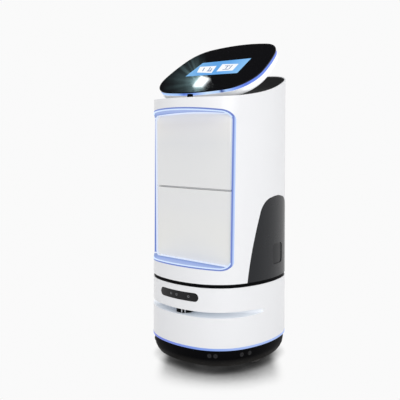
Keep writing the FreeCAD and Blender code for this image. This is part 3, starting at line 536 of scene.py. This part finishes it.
def round_cap(place, axis, radius, depth, sunk=0.0, rim=0.3, sides=32):
    """A disc with a broken edge and a middle that is sunk inside its rim."""
    bpy.ops.object.select_all(action="DESELECT")
    bpy.ops.mesh.primitive_cylinder_add(vertices=sides, radius=radius, depth=depth,
                                        location=(0, 0, 0))
    piece = bpy.context.object
    for vertex in piece.data.vertices:
        vertex.select = False
    for edge in piece.data.edges:
        edge.select = False
    for face in piece.data.polygons:
        face.select = face.normal.z > 0.9
    bpy.ops.object.mode_set(mode="EDIT")
    bpy.ops.mesh.select_mode(type="FACE")
    bpy.ops.mesh.inset(thickness=radius * rim)
    bpy.ops.transform.translate(value=(0, 0, -sunk))
    bpy.ops.object.mode_set(mode="OBJECT")
    apply_modifier(piece, "BEVEL", width=min(radius, depth) * 0.2, segments=2,
                   limit_method="ANGLE", angle_limit=math.radians(40))
    piece.location = place
    piece.rotation_euler = Vector(axis).to_track_quat("Z", "Y").to_euler()
    fix(piece)
    return piece


def pad(place, size, edge, axis=(0, 0, 1)):
    """A bar or plate with rounded edges; its thickness lies along the axis."""
    bpy.ops.object.select_all(action="DESELECT")
    bpy.ops.mesh.primitive_cube_add(size=1, location=(0, 0, 0))
    piece = bpy.context.object
    piece.scale = size
    fix(piece)
    apply_modifier(piece, "BEVEL", width=edge, segments=3, limit_method="ANGLE",
                   angle_limit=math.radians(40), use_clamp_overlap=True)
    piece.location = place
    piece.rotation_euler = Vector(axis).to_track_quat("Z", "Y").to_euler()
    fix(piece)
    return piece


def joined(pieces):
    """Makes one object of several."""
    bpy.ops.object.select_all(action="DESELECT")
    for piece in pieces:
        piece.select_set(True)
    bpy.context.view_layer.objects.active = pieces[0]
    bpy.ops.object.join()
    return bpy.context.object


BODY_END_R = 0.330
BODY_HALF_DEPTH = 0.2365


def on_end(x, side):
    """The point and outward direction on the body's front (-1) or back (+1) at one x."""
    sink = BODY_END_R - math.sqrt(BODY_END_R ** 2 - x * x)
    return side * (BODY_HALF_DEPTH - sink), (x / BODY_END_R, side * (1 - sink / BODY_END_R), 0)


black_plastic = finish("black moulded plastic", (0.003, 0.003, 0.0035), 0.45, drift=0.15,
                       grain=1400, depth=0.00004, specular=0.015)
powder_coat = finish("black powder coat", (0.015, 0.015, 0.017), 0.5, grain=2200, depth=0.00008,
                     specular=0.3)
finished("bumper", black_plastic, 0.0008)
finished("under_cover", black_plastic, 0.0006)
finished("chassis_plate", powder_coat, 0.0006)
black_glass = finish("polished black glass", (0.003, 0.003, 0.004), 0.05, drift=0.0,
                     spread=0.02, grain=40, depth=0.000005, dust=0.01, specular=0.25)
finished("bumper_sensors", black_glass, 0.0004)
finished("battery", black_plastic, 0.002)
lens_grey = finish("lens rings", (0.17, 0.175, 0.185), 0.25, drift=0.0, grain=60, depth=0.0)
SENSOR_Z = 0.063
SENSOR_LEAN = -0.1
RING_PROUD = 0.0006
RING_RADIUS = 0.0042
RING_WIRE = 0.0009
SENSOR_SPOTS = ((0.12995, -0.20331, 31), (0.14725, -0.19142, 38), (0.20193, -0.11752, 69),
                (0.2114, -0.08637, 76))
sensor_rings = []
for side in (-1, 1):
    for x, y, angle in SENSOR_SPOTS:
        outward = Vector((side * math.sin(math.radians(angle)), -math.cos(math.radians(angle)),
                          SENSOR_LEAN)).normalized()
        turn = outward.to_track_quat("Z", "Y").to_euler()
        place = Vector((side * x, y, SENSOR_Z)) + outward * RING_PROUD
        bpy.ops.mesh.primitive_torus_add(location=place, rotation=turn,
                                         major_radius=RING_RADIUS, minor_radius=RING_WIRE,
                                         major_segments=28, minor_segments=8)
        sensor_rings.append(bpy.context.object)
ring_grey = finish("sensor rings", (0.020, 0.021, 0.023), 0.4, drift=0.0, grain=60, depth=0.0,
                   specular=0.2)
settle(joined(sensor_rings), "bumper_sensor_rings", ring_grey, "chassis")
UNDER_Z = 0.0238
under_screws = []
for x, y in ((0.0, 0.195), (0.0, -0.195), (0.155, 0.12), (-0.155, 0.12), (0.155, -0.12),
             (-0.155, -0.12)):
    under_screws.append(round_cap((x, y, UNDER_Z), (0, 0, -1), 0.005, 0.002, 0.0012, 0.45, 24))
settle(joined(under_screws), "under_cover_screws", lens_grey, "chassis")
settle(pad((0, 0.01, 0.0235), (0.15, 0.13, 0.003), 0.0012, (0, 0, -1)), "battery_hatch",
       black_plastic, "chassis")

# Light ring
# A frosted ring, lit blue from inside, between the bumper and the base shell.


def glow_along(material, axis, steps):
    """A glow colour that changes along one axis; its steps are places in metres and colours. On
    parts that are no lamp it is painted light.
    """
    nodes = material.node_tree.nodes
    link = material.node_tree.links.new
    place = nodes.new("ShaderNodeTexCoord")
    split = nodes.new("ShaderNodeSeparateXYZ")
    span = nodes.new("ShaderNodeMapRange")
    low = steps[0][0]
    high = steps[-1][0]
    span.inputs["From Min"].default_value = low
    span.inputs["From Max"].default_value = high
    ramp = nodes.new("ShaderNodeValToRGB")
    while len(ramp.color_ramp.elements) < len(steps):
        ramp.color_ramp.elements.new(0.5)
    for mark, (position, colour) in zip(ramp.color_ramp.elements, steps):
        mark.position = (position - low) / (high - low)
        mark.color = (*colour, 1)
    link(place.outputs["Object"], split.inputs["Vector"])
    link(split.outputs[axis], span.inputs["Value"])
    link(span.outputs["Result"], ramp.inputs["Fac"])
    shader = nodes["Principled BSDF"]
    link(ramp.outputs["Color"], shader.inputs["Emission Color"])
    shader.inputs["Emission Strength"].default_value = 1.0


def lit(name, steps):
    """A frosted light guide whose colour changes from the left to the right."""
    material = bpy.data.materials.new(name)
    material.use_nodes = True
    shader = material.node_tree.nodes["Principled BSDF"]
    shader.inputs["Base Color"].default_value = (0.03, 0.04, 0.08, 1)
    shader.inputs["Roughness"].default_value = 0.4
    shader.inputs["Specular IOR Level"].default_value = 0.25
    glow_along(material, "X", steps)
    return material


ring_light = lit("lit ring", ((-0.24, (0.24, 0.27, 0.66)), (-0.12, (0.14, 0.18, 0.62)),
                              (0.02, (0.15, 0.23, 0.66)), (0.13, (0.20, 0.32, 0.74)),
                              (0.22, (0.34, 0.46, 0.80))))
finished("base_light", ring_light, 0.0012)

# Base shell
# White moulded plastic with a slot for the laser scanner all round the front.
white_shell = finish("white shell", (0.83, 0.835, 0.845), 0.32, drift=0.02, grain=500,
                     depth=0.00001, dust=0.10, coat=0.2)
base_shell = finished("base_shell", white_shell, 0.0010)
# Painted light: the slot's walls glow, most at the -X end, least a little to the -X side of the
# middle and a little more towards +X, lightening the slot's shade.
slot_painted_light = finish("white shell in the slot, with painted light", (0.80, 0.82, 0.85), 0.4, drift=0.0, grain=500,
                    depth=0.00001)
glow_along(slot_painted_light, "X", (
    (-0.225, (0.34, 0.34, 0.34)), (-0.17, (0.20, 0.21, 0.22)), (-0.11, (0.03, 0.035, 0.04)),
    (-0.03, (0.05, 0.058, 0.07)), (0.06, (0.07, 0.08, 0.09)), (0.225, (0.10, 0.105, 0.11))))
SLOT_LOW = 0.1935
SLOT_HIGH = 0.2145
SLOT_HALF_WIDTH = 0.2215
SLOT_HALF_DEPTH = 0.233


def in_slot(middle, normal):
    """Picks the walls of the slot: its back, and its floor and roof."""
    deep = (middle.x / SLOT_HALF_WIDTH) ** 2 + (middle.y / SLOT_HALF_DEPTH) ** 2 < 1
    return SLOT_LOW < middle.z < SLOT_HIGH and (deep or abs(normal.z) > 0.9)


paint_faces(base_shell, slot_painted_light, in_slot)
finished("sensor_window", black_glass, 0.0005)
finished("laser_scanner", black_plastic, 0.0005)
SCANNER = Vector((0.005, -0.191, 0.2035))
SCANNER_R = 0.030
MARK_ANGLES = (20.9, 44.0)
MARK_SIZE = (0.0034, 0.0165, 0.0010)
pale_mark = finish("pale marks", (0.62, 0.63, 0.65), 0.4, drift=0.0, grain=60, depth=0.0)
scanner_marks = []
for angle in MARK_ANGLES:
    outward = Vector((math.sin(math.radians(angle)), -math.cos(math.radians(angle)), 0))
    scanner_marks.append(pad(SCANNER + outward * SCANNER_R, MARK_SIZE, 0.0004, outward))
settle(joined(scanner_marks), "scanner_marks", pale_mark, "chassis")
WINDOW_Z = 0.2615
window_lenses = []
for x in (-0.019, 0.008, 0.059):
    y, outward = on_end(x, -1)
    window_lenses.append(round_cap((x, y, WINDOW_Z), outward, 0.0042, 0.0012, 0.0006, 0.4, 24))
settle(joined(window_lenses), "window_lenses", lens_grey, "chassis")
finished("charge_block", black_plastic, 0.0005)
contact_metal = finish("contact metal", (0.72, 0.52, 0.22), 0.25, metallic=1.0, grain=600,
                       depth=0.00002)
finished("charge_contacts", contact_metal, 0.0003)
finished("middle_deck", black_plastic, 0.0005)

# Wheels
# Rubber tyres on cast rims for the drive, and four swivel casters. Left is the robot's own
# left, on the +X side. The rays for the hub bolts start beyond the other wheel, so the bolts
# lie on the inner face of each hub.
rubber = finish("tyre rubber", (0.022, 0.022, 0.024), 0.72, drift=0.3, grain=1500,
                depth=0.0001, dust=0.12)
rim_metal = finish("cast rim", (0.48, 0.49, 0.50), 0.35, metallic=0.9, grain=900,
                   depth=0.00005)
zinc = finish("zinc plated steel", (0.50, 0.51, 0.52), 0.32, metallic=1.0, drift=0.12,
              grain=300, depth=0.00003)


def screws_on(piece, starts, way, radius, body, name, material):
    """Screw heads where lines from the given points, all in one direction, meet a piece."""
    heads = []
    for start in starts:
        hit, place, normal, _ = piece.ray_cast(Vector(start), Vector(way))
        if hit:
            heads.append(round_cap(place + normal * radius * 0.08, normal, radius,
                                   radius * 0.36, radius * 0.2, 0.45, 24))
    return settle(joined(heads), name, material, body)


AXLE_Y = 0.0
AXLE_Z = 0.075
BOLT_REACH = 0.030
BOLT_RAY = 0.3
BOLT_RADIUS = 0.0048
AXLE_RAY = 0.05
AXLE_END_RADIUS = 0.0062
for side, start_side in (("left", -1), ("right", 1)):
    finished("drive_bracket_" + side, powder_coat, 0.0006)
    hub = finished("drive_hub_" + side, rim_metal, 0.0008)
    finished("drive_tyre_" + side, rubber, 0.0006)
    bolt_starts = []
    for step in range(5):
        turn = math.radians(90 + 72 * step)
        bolt_starts.append((start_side * BOLT_RAY, AXLE_Y + BOLT_REACH * math.cos(turn),
                            AXLE_Z + BOLT_REACH * math.sin(turn)))
    screws_on(hub, bolt_starts, (-start_side, 0, 0), BOLT_RADIUS, "drive_wheel_" + side,
              "hub_bolts_" + side, zinc)
    for end in ("front", "rear"):
        corner = end + "_" + side
        finished("caster_mount_" + corner, zinc, 0.0005)
        fork = finished("caster_fork_" + corner, zinc, 0.0005)
        wheel = finished("caster_wheel_" + corner, rubber, 0.0005)
        middle = sum((Vector(spot) for spot in wheel.bound_box), Vector()) / 8
        for way, word in ((-1, "outer"), (1, "inner")):
            screws_on(fork, [(middle.x - way * AXLE_RAY, middle.y, middle.z)], (way, 0, 0),
                      AXLE_END_RADIUS, "caster_fork_" + corner,
                      "caster_axle_%s_%s" % (word, corner), zinc)

# Upper shell
# White moulded walls, a rear cover and charcoal side panels.
charcoal = finish("charcoal panel", (0.006, 0.007, 0.0095), 0.27, drift=0.1, grain=1800,
                  depth=0.00001, specular=0.30)
recess_black = finish("panel recess", (0.0045, 0.005, 0.007), 0.34, drift=0.1, grain=1800,
                      depth=0.00001, specular=0.20)
finished("upper_shell", white_shell, 0.0010)
finished("rear_cover", white_shell, 0.0010)
RECESS_Y = 0.0615
RECESS_Z = 0.3915
RECESS_HALF = 0.0362


def in_recess(middle, normal):
    """Picks the faces of the side panel's square recess."""
    return abs(middle.y - RECESS_Y) < RECESS_HALF and abs(middle.z - RECESS_Z) < RECESS_HALF


for side in ("left", "right"):
    paint_faces(finished("side_panel_" + side, charcoal, 0.0003), recess_black, in_recess)


REAR_LEAN = 0.0086
REAR_FOOT = 0.309
CONTROLS_Z = 0.345


def rear_spot(x, z):
    """Point and outward direction on the rear cover, whose wall leans in a little."""
    y, outward = on_end(x, 1)
    return (x, y - REAR_LEAN * (z - REAR_FOOT), z), outward


rear_screws = []
for x in (-0.085, 0.085):
    for z in (0.335, 0.60, 0.90):
        place, outward = rear_spot(x, z)
        rear_screws.append(round_cap(place, outward, 0.0045, 0.0014, 0.0009, 0.45, 24))
settle(joined(rear_screws), "rear_cover_screws", zinc, "chassis")
vent_slots = []
for step in range(-7, 8):
    for z in (0.405, 0.475):
        place, outward = rear_spot(step * 0.010, z)
        vent_slots.append(pad(place, (0.0045, 0.052, 0.0008), 0.0003, outward))
settle(joined(vent_slots), "rear_vent_slots", black_plastic, "chassis")
button_place, button_way = rear_spot(0.0, CONTROLS_Z)
settle(round_cap(button_place, button_way, 0.0095, 0.0020, 0.0007, 0.22, 40), "power_button",
       zinc, "chassis")
socket_place, socket_way = rear_spot(0.045, CONTROLS_Z)
settle(pad(socket_place, (0.030, 0.022, 0.0016), 0.0006, socket_way), "socket_cover",
       black_plastic, "chassis")

# Doors and their light
# Two light grey doors, one above the other, stand in a pocket. A light guide lines the pocket:
# its outer lip shines deep blue, its inner faces paler, and a bright bead lies between them.
# Painted light: the doors' paint glows faintly warm along their lower and upper edges, for the
# guide's light that grazes them there and lifts their shade.
door_paint_with_painted_light = finish("door paint with painted light", (0.80, 0.805, 0.80), 0.38, drift=0.015, grain=1200,
                    depth=0.00001)
# Painted light: a warm glow that rises towards the doors' lower and upper edges.
glow_along(door_paint_with_painted_light, "Z", (
    (0.366, (0.19, 0.175, 0.11)), (0.380, (0.09, 0.075, 0.015)), (0.43, (0.052, 0.042, 0.0)),
    (0.56, (0.008, 0.006, 0.0)), (0.78, (0.008, 0.006, 0.0)), (0.845, (0.085, 0.065, 0.035)),
    (0.888, (0.24, 0.22, 0.18))))
DOOR_FOOT = 0.3700
DOOR_CLEARANCE = 0.0006
lower_door = finished("lower_door", door_paint_with_painted_light, 0.0)
for vertex in lower_door.data.vertices:
    if vertex.co.z < DOOR_FOOT:
        vertex.co.z += DOOR_CLEARANCE
finished("upper_door", door_paint_with_painted_light, 0.0)
door_surround = finished("door_surround", white_shell, 0.0004)
finished("door_hinges", door_paint_with_painted_light, 0.0)


def glow(name, colour, strength=1.0):
    """A material that shines in one colour; on the door surround it is painted light."""
    material = bpy.data.materials.new(name)
    material.use_nodes = True
    shader = material.node_tree.nodes["Principled BSDF"]
    shader.inputs["Base Color"].default_value = (0.02, 0.02, 0.03, 1)
    shader.inputs["Roughness"].default_value = 0.4
    shader.inputs["Specular IOR Level"].default_value = 0.2
    shader.inputs["Emission Color"].default_value = (*colour, 1)
    shader.inputs["Emission Strength"].default_value = strength
    return material


DOOR_FACE = -0.149
GAP_HALF = 0.1800
LIP_HALF = 0.1835
OPENING_HALF = 0.1799
OPENING_LOW = 0.3635
OPENING_HIGH = 0.8875
OPENING_BACK = -0.1295
LIP_DEEP = (0.135, 0.205, 0.56)
LIP_PALE = (0.46, 0.60, 0.92)
FACE_LILAC = (0.25, 0.34, 0.63)
FACE_PALE = (0.72, 0.79, 0.94)
door_lilac = glow("door light, inner faces", FACE_LILAC)
glow_along(door_lilac, "X", ((-0.1900, FACE_PALE), (-0.1795, FACE_PALE),
                               (-0.1788, FACE_LILAC), (0.1788, FACE_LILAC),
                               (0.1795, FACE_PALE), (0.1900, FACE_PALE)))
door_edge_glow = glow("door light, face to the doors", (0.70, 0.78, 0.92), 1.0)
door_deep = glow("door light, lip", LIP_DEEP)
glow_along(door_deep, "X", ((-0.2000, LIP_DEEP), (0.1858, LIP_DEEP), (0.1872, LIP_PALE),
                              (0.2000, LIP_PALE)))
door_bead_glow = glow("door light, bead", (0.66, 0.80, 1.0))


def look_of(face):
    """Picks the colour of one face of the door light by its place and direction."""
    middle = face.center
    normal = face.normal
    if abs(normal.x) > 0.9 and abs(middle.x) < GAP_HALF:
        return 1
    if abs(normal.z) > 0.9 and middle.y > DOOR_FACE + 0.0002:
        return 1
    if abs(normal.x) > 0.95 and middle.y < DOOR_FACE:
        return 2
    if normal.y < -0.3 and middle.y < DOOR_FACE - 0.0005 or (
            normal.y < -0.3 and abs(middle.x) > LIP_HALF):
        return 2
    return 0


door_light = finished("door_light", door_lilac, 0.0)
for extra in (door_edge_glow, door_deep):
    door_light.data.materials.append(extra)
for face in door_light.data.polygons:
    face.material_index = look_of(face)
# Painted light: the surround is white shell, no lamp, and the edges of its opening that face
# the doors glow.
surround_painted_light = glow("surround, painted light on the edge of its opening", (0.62, 0.68, 0.80), 1.1)


def in_opening(middle, normal):
    """Picks the surround's edges that face the doors."""
    inside = abs(middle.x) < OPENING_HALF and OPENING_LOW < middle.z < OPENING_HIGH
    return inside and abs(normal.y) < 0.6 and middle.y < OPENING_BACK


paint_faces(door_surround, surround_painted_light, in_opening)
POCKET_MIDDLE = Vector((0, DOOR_FACE, 0.626))
BEAD_LEFT = -0.166
BEAD_HALF = 0.1828
BEAD_RADIUS = 0.0022


def lip_bead(source, name, material, radius):
    """A round bead between the lip and the pocket's faces. It ends before the hinge side."""
    piece = source.copy()
    piece.data = source.data.copy()
    piece.name = name
    for key in list(piece.keys()):
        del piece[key]
    bpy.context.collection.objects.link(piece)
    piece.parent = None
    mesh = piece.data
    sides = {}
    for face in mesh.polygons:
        for key in face.edge_keys:
            sides.setdefault(key, []).append(face)
    for edge in mesh.edges:
        faces = sides.get(edge.key, [])
        edge.select = False
        reach = min(abs(mesh.vertices[index].co.x) for index in edge.vertices)
        hinge_side = min(mesh.vertices[index].co.x for index in edge.vertices) < BEAD_LEFT
        if len(faces) == 2 and reach < BEAD_HALF and not hinge_side:
            faces.sort(key=lambda face: face.normal.y)
            lip, wall = faces
            inward = (POCKET_MIDDLE - wall.center).dot(wall.normal) > 0
            edge.select = (lip.normal.y < -0.35 and abs(wall.normal.y) < 0.2 and inward
                           and lip.center.y < DOOR_FACE - 0.001)
    for vertex in mesh.vertices:
        vertex.select = False
    for face in mesh.polygons:
        face.select = False
    for edge in mesh.edges:
        if edge.select:
            for index in edge.vertices:
                mesh.vertices[index].select = True
    select_only(piece)
    bpy.ops.object.mode_set(mode="EDIT")
    bpy.ops.mesh.select_mode(type="EDGE")
    bpy.ops.mesh.duplicate()
    bpy.ops.mesh.select_all(action="INVERT")
    bpy.ops.mesh.delete(type="VERT")
    bpy.ops.object.mode_set(mode="OBJECT")
    bpy.ops.object.convert(target="CURVE")
    piece = bpy.context.object
    piece.data.bevel_depth = radius
    piece.data.bevel_resolution = 3
    bpy.ops.object.convert(target="MESH")
    piece = bpy.context.object
    piece.data.materials.clear()
    piece.data.materials.append(material)
    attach(piece, "chassis")
    return piece


lip_bead(door_light, "door_light_bead", door_bead_glow, BEAD_RADIUS)

# Door seals and liners
# A pale seal runs along the edge of each door where the two meet. Inside, each door has a
# thin grey liner with four screws and a steel plate that the latch holds. Behind the gaps over
# and under the doors the lining glows: painted light, for the light guide shining on it there.
seal_pale = finish("pale door seal", (0.80, 0.81, 0.82), 0.6, drift=0.02, grain=900,
                   depth=0.00002)
lining = finish("grey lining with painted light", (0.45, 0.46, 0.48), 0.5, drift=0.05, grain=1500,
                depth=0.00005)
FLANGE_PAINTED_LIGHT = (0.42, 0.47, 0.58)
# Painted light: the lining glows below 0.371 m and above 0.872 m, behind the gaps.
glow_along(lining, "Z", ((0.350, FLANGE_PAINTED_LIGHT), (0.366, FLANGE_PAINTED_LIGHT), (0.371, (0, 0, 0)),
                           (0.872, (0, 0, 0)), (0.880, FLANGE_PAINTED_LIGHT), (0.900, FLANGE_PAINTED_LIGHT)))
DOOR_INSIDE = -0.135
for name, seal_z, low, high in (("lower_door", 0.62325, 0.385, 0.607),
                                ("upper_door", 0.62775, 0.644, 0.860)):
    settle(pad((0.002, DOOR_FACE + 0.0030, seal_z), (0.342, 0.0045, 0.0017), 0.0004),
           name + "_seal", seal_pale, name)
    settle(pad((0.005, DOOR_INSIDE + 0.0008, (low + high) / 2),
               (0.285, high - low, 0.0020), 0.0009, (0, 1, 0)),
           name + "_liner", lining, name)
    screws = []
    for x in (-0.125, 0.135):
        for z in (low + 0.012, high - 0.012):
            screws.append(round_cap((x, DOOR_INSIDE + 0.0022, z), (0, 1, 0), 0.0035, 0.0012,
                                    0.0007, 0.45, 24))
    settle(joined(screws), name + "_liner_screws", zinc, name)
    settle(pad((0.160, DOOR_INSIDE + 0.0008, (low + high) / 2), (0.012, 0.040, 0.0016), 0.0006,
               (0, 1, 0)), name + "_latch_plate", zinc, name)

# Cabins
# Grey moulded linings, each with a ribbed black mat on its floor, a light under its roof and
# four screws in its back wall.
cabins = {name: finished(name, lining, 0.0005) for name in ("lower_cabin", "upper_cabin")}
mat_rubber = finish("cabin mat", (0.03, 0.031, 0.033), 0.7, drift=0.15, grain=1200,
                    depth=0.00008)
cabin_glow = glow("cabin light", (0.85, 0.92, 1.0), 1.4)
for name, floor_z, roof_z in (("lower_cabin", 0.383, 0.609), ("upper_cabin", 0.637, 0.859)):
    ribs = [pad((0, 0.009, floor_z + 0.0010), (0.270, 0.250, 0.0020), 0.0008)]
    for step in range(-8, 9):
        ribs.append(pad((step * 0.015, 0.009, floor_z + 0.0023), (0.004, 0.238, 0.0012),
                        0.0005))
    settle(joined(ribs), name + "_mat", mat_rubber, "chassis")
    settle(pad((0, -0.095, roof_z - 0.0010), (0.200, 0.010, 0.0026), 0.0009),
           name + "_light", cabin_glow, "chassis")
    wall_spots = [(x, 0.0, z) for x in (-0.12, 0.12) for z in (floor_z + 0.03, roof_z - 0.03)]
    screws_on(cabins[name], wall_spots, (0, 1, 0), 0.0045, "chassis", name + "_screws", zinc)

# Top deck and head
# A black deck closes the body. The white bowl of the head stands on a neck over it and holds
# the lit strip, the black glass with the display, and a small camera under its front edge.
HEAD_SCREW_RAY = 0.4
finished("top_deck", black_plastic, 0.0006)
finished("head_neck", black_plastic, 0.0006)
# Painted light: the bowl glows faintly all over, which brightens its shaded underside.
bowl_white_with_painted_light = finish("head bowl with painted light", (0.86, 0.865, 0.87), 0.3, drift=0.0, grain=500, depth=0.0)
bowl_painted_light = bowl_white_with_painted_light.node_tree.nodes["Principled BSDF"]
bowl_painted_light.inputs["Emission Color"].default_value = (0.93, 0.96, 1.0, 1)
bowl_painted_light.inputs["Emission Strength"].default_value = 0.28
bowl = finished("head_shell", bowl_white_with_painted_light, 0.0006)
bowl_spots = [(x, HEAD_SCREW_RAY, z) for x in (-0.135, 0.135) for z in (1.030, 1.085)]
screws_on(bowl, bowl_spots, (0, -1, 0), 0.0042, "chassis", "head_screws", zinc)
head_glow = lit("lit head strip", (
    (-0.21, (0.12, 0.22, 0.66)), (-0.15, (0.42, 0.62, 0.95)), (-0.085, (0.36, 0.56, 0.94)),
    (-0.05, (0.10, 0.20, 0.66)), (0.0, (0.22, 0.38, 0.86)), (0.06, (0.60, 0.78, 1.0)),
    (0.108, (0.45, 0.64, 0.96)), (0.120, (0.02, 0.05, 0.26)), (0.138, (0.40, 0.60, 0.96)),
    (0.17, (0.20, 0.34, 0.88)), (0.20, (0.09, 0.17, 0.68)), (0.225, (0.13, 0.23, 0.76))))
finished("head_light", head_glow, 0.0006)
finished("head_glass", black_glass, 0.0012)
finished("display", black_glass, 0.0)
finished("head_camera", black_plastic, 0.0006)
settle(pad((0, -0.158, 0.9465), (0.0145, 0.014, 0.0055), 0.0010), "head_camera_hood",
       black_plastic, "chassis")

# Screen picture
# The display shows a blue page with two white tiles. Each tile carries a simple mark.
HEAD_PLACE = Matrix.Translation((0, -0.0139, 1.0498)) @ Matrix.Rotation(math.radians(35.8), 4,
                                                                       "X")
display = frame["nodes"]["display"]
to_head = HEAD_PLACE.inverted() @ display.matrix_world
SCREEN_TOP = max((to_head @ vertex.co).z for vertex in display.data.vertices)


def sheet_on_head(name, corners, lift, material):
    """A thin sheet on the glass; corners in millimetres, lower pair first."""
    bpy.ops.object.select_all(action="DESELECT")
    bpy.ops.mesh.primitive_plane_add(size=1, location=(0, 0, 0))
    piece = bpy.context.object
    for vertex, (x, y) in zip(piece.data.vertices, corners):
        vertex.co = (x / 1000, y / 1000, 0)
    apply_modifier(piece, "SOLIDIFY", thickness=0.0003, offset=1.0)
    apply_modifier(piece, "BEVEL", width=0.0001, segments=1, limit_method="ANGLE",
                   angle_limit=math.radians(40))
    piece.matrix_world = HEAD_PLACE @ Matrix.Translation((0, 0, SCREEN_TOP + lift))
    return settle(piece, name, material, "chassis")


screen_lit = lit("lit screen", ((-0.12, (0.16, 0.42, 0.74)), (-0.04, (0.08, 0.32, 0.70)),
                                (0.04, (0.10, 0.36, 0.76)), (0.12, (0.22, 0.50, 0.84))))
sheet_on_head("screen_page", ((-125, -44), (125, -52), (-106, 48), (124, 45)), 0.0, screen_lit)
tile_white = glow("screen tile", (0.93, 0.95, 0.97))
tile_blue = glow("screen mark", (0.16, 0.24, 0.42))
TILE_LEFT = ((-84, -22), (-3.4, -35.5), (-99, 19), (-14, 13.5))
TILE_RIGHT = ((15, -28), (91, -31.5), (8.4, 22), (89, 12))
sheet_on_head("screen_tile_left", TILE_LEFT, 0.0003, tile_white)
sheet_on_head("screen_tile_right", TILE_RIGHT, 0.0003, tile_white)


def on_tile(tile, across, up):
    """A point on a tile, given as shares of its width and height."""
    low = Vector(tile[0]).lerp(Vector(tile[1]), across)
    high = Vector(tile[2]).lerp(Vector(tile[3]), across)
    return tuple(low.lerp(high, up))


def mark_on_tile(name, tile, left, right, low, high):
    """One bar of a mark, given as shares of the tile's width and height."""
    corners = [on_tile(tile, across, up) for up in (low, high) for across in (left, right)]
    sheet_on_head(name, corners, 0.0006, tile_blue)


for number, (left, right, low, high) in enumerate((
        (0.30, 0.36, 0.20, 0.80), (0.60, 0.90, 0.20, 0.32), (0.66, 0.72, 0.32, 0.84),
        (0.80, 0.86, 0.32, 0.66))):
    mark_on_tile("screen_mark_left_%d" % number, TILE_LEFT, left, right, low, high)
for number, (left, right, low, high) in enumerate((
        (0.26, 0.60, 0.70, 0.78), (0.42, 0.48, 0.30, 0.70), (0.30, 0.70, 0.18, 0.26),
        (0.66, 0.72, 0.26, 0.84))):
    mark_on_tile("screen_mark_right_%d" % number, TILE_RIGHT, left, right, low, high)
